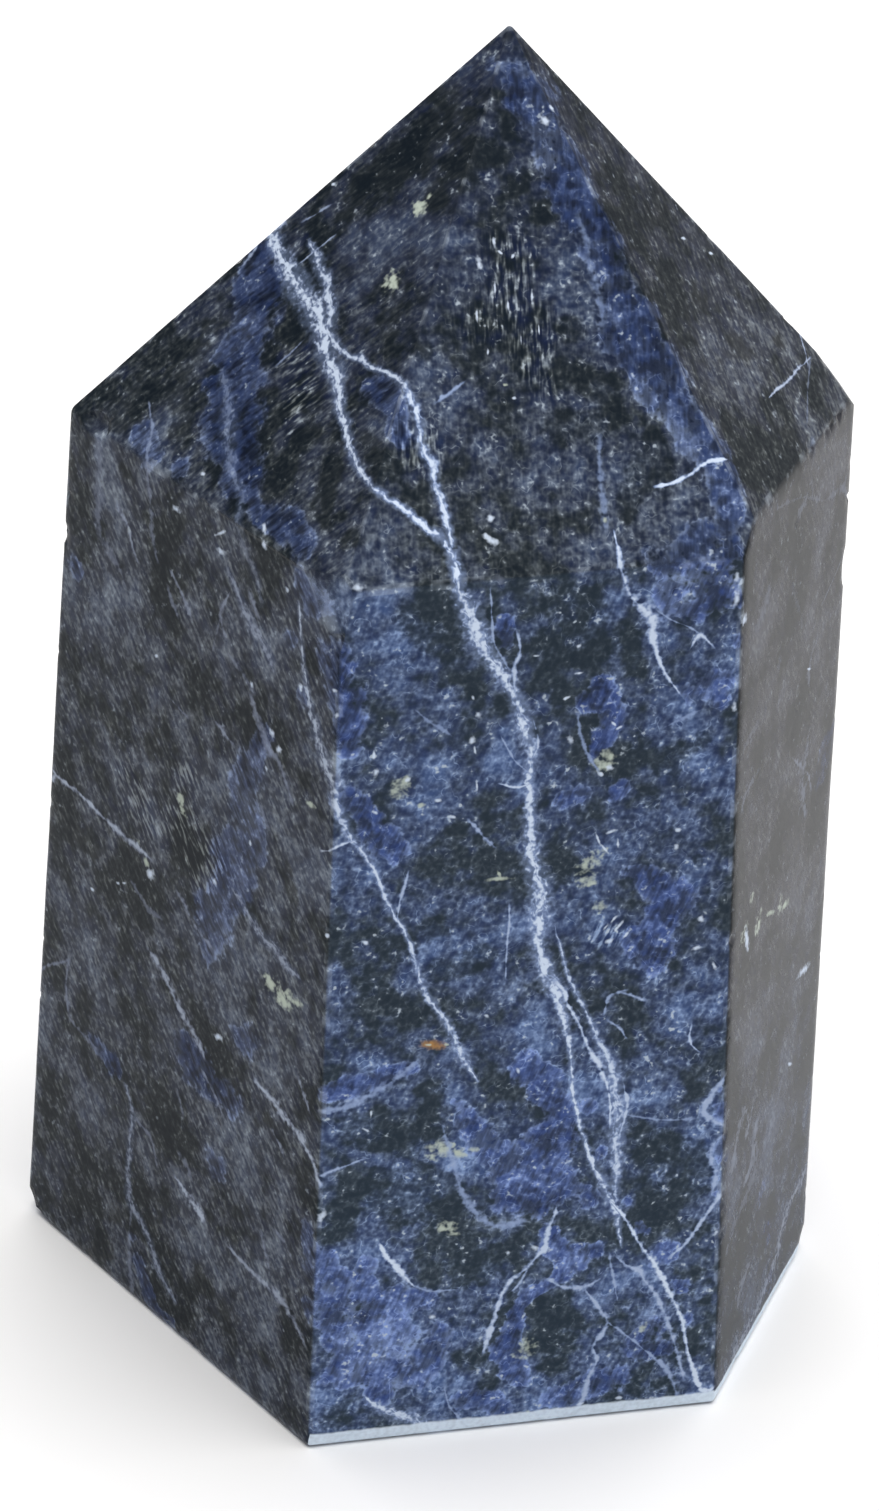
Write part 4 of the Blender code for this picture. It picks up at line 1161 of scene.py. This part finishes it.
def fetched(wire, name):
    """The three numbers of a colour attribute and its fourth one."""
    found = wire.node("ShaderNodeAttribute", {"attribute_name": name}, {}, output="Vector")
    return found.parts() + [Wire(wire.tree, found.socket.node.outputs["Alpha"])]


class Clouds:
    """The noises and facet numbers that the parts of the finish share. Each noise is less its mean."""

    def __init__(self, wire, place, brush):
        self.large = place.noise(0.17, 1.0) - 0.5
        self.medium = place.noise(0.55, 2.0, 0.55) - 0.5
        self.small = place.noise(1.3, 1.0, 0.5) - 0.5
        self.fine = place.noise(2.9, 1.0, 0.5) - 0.5
        self.streak = brush.times((3.6, 0.8, 1.0)).noise(1.0, 1.0, 0.5) - 0.5
        self.ridge = 0.09 - abs(self.small)
        self.wisp = (0.03 - abs(place.noise(0.75, 2.0, 0.55) - 0.5)).slope(0.0, 0.03) * (self.small * 5.0 + 0.35).clear()
        self.warp = self.medium * 0.4 + self.small * 0.3
        # The four numbers of each face: how much pale frost it shows and how blue it is painted, partly the stone's own
        # tone and partly painted light; how much painted warm sheen it gets, which also mutes its specks and marks; and
        # how high the painted reflection of the table reaches at its foot.
        self.frosting, self.blueness, self.faint, self.foot = fetched(wire, "facet_tone_and_sheen")


def ground_colour(wire, clouds):
    """The stone between its veins."""
    lean, pale, cream, scratched = fetched(wire, "ground")
    ragged = clouds.medium * 0.9 + clouds.small * 1.0 + clouds.fine * 0.9
    lean = lean + ragged * (0.4 + abs(lean) * 0.9)
    dark = lean.slope(-0.10, -0.90)
    edge = 0.40 - clouds.blueness * 0.15
    inside = lean.slope(0.5 - edge, 0.5 + edge)
    margin = lean.slope(0.30, 0.50) * lean.slope(0.95, 0.60)
    cloud = clouds.large * 1.3 + clouds.medium * 0.9 + clouds.small * 0.3 + lean * 0.15
    base = mix_colours(wire, cloud.slope(-0.22, 0.10), OLIVE, NAVY)
    base = mix_colours(wire, cloud.slope(0.02, 0.40) * 0.9, base, HAZE_BLUE)
    base = mix_colours(wire, dark * 0.6, base, OLIVE)
    # Bluer faces are painted brighter as well, partly the stone's own tone and partly painted light.
    base = base.scaled(1.0 + clouds.blueness * 2.3)
    clumps = clouds.large * 3.2 + clouds.medium * 3.8 + clouds.small * 1.5 + clouds.ridge * 4.5 + clouds.fine * 5.0
    clumps = clumps + clouds.wisp * (1.6 - clouds.faint)
    clumps = clumps + clouds.streak * (clouds.faint * 4.0 + 2.5) + scratched * (clouds.streak * 15.0 - 0.2)
    clumps = clumps + pale * 1.3 - dark * 0.8 + margin * 1.1 - inside * (0.9 - clouds.blueness * 0.6)
    clumps = clumps + clouds.frosting - 1.85
    frost = clumps.math("EXPONENT", clumps)
    frost = frost / (1.0 + frost * 0.6)
    hue = cloud.slope(-0.28, 0.20) * 0.8 + 0.3 + inside * 0.2
    tone = mix_colours(wire, (clouds.blueness * hue).clear(), THIN_FROST_AND_SHEEN, FROST_THICK)
    deep = mix_colours(wire, (clouds.blueness * 0.75 + 0.3).clear(), OLIVE, PATCH_DEEP)
    deep = deep.scaled((clouds.medium * 3.0 + clouds.small * 2.5 + clouds.streak * 1.5 + 0.45).clear() * 1.3 + 0.3)
    base = mix_colours(wire, inside * 0.85, base, deep)
    tone = mix_colours(wire, inside * 0.8, tone, PATCH_FROST)
    base = mix_colours(wire, frost, base, tone, "ADD")
    # Painted sheen: a warm grey added on the faces that mirror the table at a slant, as much as each face's sheen
    # number says.
    painted_sheen = (clouds.large * 2.5 + clouds.medium * 2.2 + clouds.streak * 1.2 + 0.4).clear() * clouds.faint
    haze = mix_colours(wire, (clouds.blueness * 3.0 + 0.4).clear(), WARM_SHEEN_TINT, THIN_FROST_AND_SHEEN)
    base = mix_colours(wire, painted_sheen * 0.24, base, haze, "ADD")
    fleck = clouds.fine * 2.2 + clouds.small * 1.2 + clouds.medium * 0.6 + scratched * clouds.streak * 2.0 + pale * 0.15
    speckled = fleck.slope(0.42, 0.85) * (0.5 + clouds.blueness * 0.3) * (1.0 - clouds.faint * 0.6)
    base = mix_colours(wire, speckled, base, FLECK)
    knot = (cream * 0.8 + clouds.small * 1.6 + clouds.fine * 2.2 - 0.35).slope(-0.1, 0.9) * cream.slope(0.0, 0.5)
    return mix_colours(wire, knot * 0.8, base, CREAM), frost


def marked(wire, clouds, colour, white):
    """Lay a pale mark on a colour: blue where it is thin, white where it is full. Faces with the painted sheen mute it
    and turn it greyer.
    """
    tint = mix_colours(wire, clouds.faint, VEIN_BLUE, VEIN_GREY)
    tinted = mix_colours(wire, white.slope(0.0, 0.5) * (0.85 - clouds.faint * 0.4), colour, tint)
    return mix_colours(wire, white.slope(0.3, 1.0) * (1.0 - clouds.faint * 0.5), tinted, WHITE)


def veined(wire, colour, clouds):
    """Lay the broad veins on a colour. Where two meet, the one that is nearer its middle counts."""
    best = None
    for name in band_names:
        along, across, half, strength = fetched(wire, name)
        across = across + clouds.warp * 0.7
        closeness = 1.0 - abs(across) / half * 0.85 + strength.slope(0.0, 0.2) * 4.0 - 4.0
        if best is None:
            best = (along, across, strength, closeness)
            continue
        nearer = closeness.math("GREATER_THAN", closeness, best[3])
        best = tuple(old + (new - old) * nearer for old, new in zip(best, (along, across, strength, closeness)))
    along, across, strength, closeness = best
    fibre = wire.vector(along * 0.7, across * 2.6 + clouds.small * 2.0, 0.0).noise(1.0, 1.0, 0.6) - 0.5
    fibre = 0.10 - abs(fibre) + clouds.fine * 0.7
    white = (closeness * 0.8 + fibre * 3.2 + clouds.medium * 1.2 + 0.05).slope(-0.1, 1.2) * strength
    halo = (closeness + clouds.fine * 2.0 + clouds.small * 1.5).slope(-1.4, 0.8) * strength
    colour = mix_colours(wire, halo * (0.5 - clouds.faint * 0.4), colour, VEIN_BLUE)
    return marked(wire, clouds, colour, white), white


def threaded(wire, colour, clouds):
    """Lay the threads on a colour."""
    total = None
    broken = clouds.fine * 1.8 + clouds.small * 1.6 + clouds.medium * 1.6 + 0.1
    shift = clouds.warp * 0.45
    for name in thread_names:
        along, across, half, strength = fetched(wire, name)
        near = 1.0 - abs(across + shift) / half * 0.72
        white = (near + broken).slope(-0.1, 1.25) * strength
        total = white if total is None else total.math("MAXIMUM", total, white)
    return marked(wire, clouds, colour, total), total


def grained(wire, colour, clouds):
    """Lay the grains on a colour."""
    total = 0.0
    broken = clouds.fine * 1.4 + 1.1
    for name in grain_names:
        along, across, tint, strength = fetched(wire, name)
        squared = along * along + across * across
        white = (broken - squared.math("SQRT", squared)).slope(0.0, 1.0) * strength
        creamy = mix_colours(wire, tint.slope(0.0, 1.0), WHITE, CREAM)
        colour = mix_colours(wire, white * 0.85, colour, mix_colours(wire, tint.slope(1.0, 2.0), creamy, RUSTY))
        total = white + total
    return colour, total.clear()

# %% The finish of the stone
GLOSS = 0.24
STONE_IOR = 1.48
STONE_SHINE = 0.055
# Height in mm of the painted pale reflection of the table along the foot, on a face whose foot number is 1.
FOOT_SHEEN_HEIGHT = 1.15


def stone_finish():
    """Polished sodalite with its veins, grains and scratches, pale chips and painted highlights on the arrises, and a
    painted reflection of the table along the foot.
    """
    finish = bpy.data.materials.new("polished_sodalite_veined")
    finish.use_nodes = True
    wire = Wire(finish.node_tree)
    shader = finish.node_tree.nodes["Principled BSDF"]
    place = wire.node("ShaderNodeTexCoord", {}, {}, output="Object").scaled(1.0 / MM)
    brush = wire.node("ShaderNodeAttribute", {"attribute_name": "brush"}, {}, output="Vector")
    clouds = Clouds(wire, place, brush)
    colour, frost = ground_colour(wire, clouds)
    colour, band_white = veined(wire, colour, clouds)
    colour, thread_white = threaded(wire, colour, clouds)
    colour, grain_white = grained(wire, colour, clouds)
    whiteness = (band_white + thread_white + grain_white).clear()
    arris = wire.node("ShaderNodeAttribute", {"attribute_name": "arris"}, {}, output="Fac")
    height = place.parts()[2] + clouds.small * 0.25
    # A painted pale band along the foot stands for the table mirrored there, as high as each face's foot number says.
    foot_sheen_band = (clouds.foot * FOOT_SHEEN_HEIGHT - height).slope(-0.12, 0.10)
    # The pale flecks on the arrises are partly chips and partly painted highlights along them.
    arris_chips_and_glints = arris.slope(0.92, 1.0) * (clouds.medium * 5.0 + clouds.small * 3.0).clear()
    # worn holds the pale chips and painted highlights of the arrises and the painted reflection along the foot.
    worn = (foot_sheen_band * (0.9 + clouds.fine * 0.4) + arris_chips_and_glints * 0.14).clear()
    colour = mix_colours(wire, worn, colour, PALE_CHIP_AND_FOOT_SHEEN)
    rough = GLOSS + whiteness * 0.12 + frost * 0.15 + worn * 0.2 + clouds.medium * 0.12
    bump = wire.node("ShaderNodeBump", {}, {"Strength": 0.5, "Distance": 0.004 * MM,
                                            "Height": place.noise(4.0, 2.0, 0.6)})
    links = finish.node_tree.links
    links.new(colour.socket, shader.inputs["Base Color"])
    links.new(rough.socket, shader.inputs["Roughness"])
    links.new(bump.socket, shader.inputs["Normal"])
    shader.inputs["IOR"].default_value = STONE_IOR
    shader.inputs["Specular IOR Level"].default_value = STONE_SHINE
    return finish


finish = stone_finish()
print("the finish has", len(finish.node_tree.nodes), "nodes")

# %% Wear the stone, and put it in place of the plain one
stone = bpy.data.objects.new("veined_stone", mesh)
bpy.context.scene.collection.objects.link(stone)
mesh.polygons.foreach_set("use_smooth", [True] * len(mesh.polygons))
mesh.materials.append(finish)
wear = stone.modifiers.new("wear", "NODES")
wear.node_group = wear_tree(finish)
for item in wear.node_group.interface.items_tree:
    if item.name in WEAR_INPUTS:
        wear[item.identifier] = WEAR_INPUTS[item.name]
worn_mesh = bpy.data.meshes.new_from_object(stone.evaluated_get(bpy.context.evaluated_depsgraph_get()))
stone.modifiers.clear()
stone.data = worn_mesh
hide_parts(STONE_NODE)
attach(stone, "root")
print("worn stone:", len(worn_mesh.polygons), "triangles,", len(worn_mesh.attributes), "attributes")

# %% [markdown]
# The stone stands on a plain pale table, lit from high on the right by one very large soft light and all round by a
# pale sky that is a little darker on the left. A polished stone shows its surroundings as a faint haze on each face:
# the front face mirrors the bright table, the left one mirrors the stone's own soft shadow, and the right one mirrors
# the light side of the table. So the room around the stone matters as much as its colours. On top of that, the finish
# paints a warm grey sheen on the side faces and a pale reflection of the table along the foot.

# %% Table
TABLE_SIZE = 6.0
TABLE_GREY = (0.92, 0.92, 0.925, 1.0)
half = TABLE_SIZE / 2.0
table_mesh = bpy.data.meshes.new("table")
table_mesh.from_pydata([(-half, -half, 0.0), (half, -half, 0.0), (half, half, 0.0), (-half, half, 0.0)], [],
                       [(0, 1, 2, 3)])
table = bpy.data.objects.new("table", table_mesh)
bpy.context.scene.collection.objects.link(table)
table_finish = bpy.data.materials.new("pale_table")
table_finish.use_nodes = True
table_shader = table_finish.node_tree.nodes["Principled BSDF"]
table_shader.inputs["Base Color"].default_value = TABLE_GREY
table_shader.inputs["Roughness"].default_value = 0.6
table_shader.inputs["Specular IOR Level"].default_value = 0.2
table_mesh.materials.append(table_finish)

# %% Light and sky
LIGHT_WAY = (0.0, 0.1, 1.3)
LIGHT_WIDTH = 1.6
LIGHT_WATTS = 25.0
LIGHT_TINT = (1.0, 0.98, 0.95)
SKY_DARK = (0.25, 0.255, 0.27, 1.0)
SKY_BRIGHT = (0.88, 0.90, 0.94, 1.0)
SKY_BRIGHT_WAY = (0.8, -0.15, -0.58)
SKY_SLOPE = (-0.25, 0.45)


def level_way(x, y, z):
    """A direction given as right of, ahead of and above the photograph's camera, in the world's axes."""
    return level_right * x + look_level * y + Vector((0.0, 0.0, z))


light = bpy.data.objects.new("large_soft_light", bpy.data.lights.new("large_soft_light", "AREA"))
bpy.context.scene.collection.objects.link(light)
light.data.shape = "DISK"
light.data.size = LIGHT_WIDTH
light.data.energy = LIGHT_WATTS
light.data.color = LIGHT_TINT
light.location = level_way(*LIGHT_WAY)
light.rotation_euler = (tip * 0.5 - light.location).to_track_quat("-Z", "Y").to_euler()

sky = bpy.data.worlds.new("pale_room")
sky.use_nodes = True
bpy.context.scene.world = sky
wire = Wire(sky.node_tree)
way = wire.node("ShaderNodeTexCoord", {}, {}, output="Generated")
facing = wire.node("ShaderNodeVectorMath", {"operation": "DOT_PRODUCT"},
                   {0: way, 1: level_way(*SKY_BRIGHT_WAY).normalized()}, output="Value")
tone = mix_colours(wire, facing.slope(*SKY_SLOPE), SKY_DARK, SKY_BRIGHT)
sky.node_tree.links.new(tone.socket, sky.node_tree.nodes["Background"].inputs["Color"])
bpy.context.scene.view_settings.view_transform = "Standard"
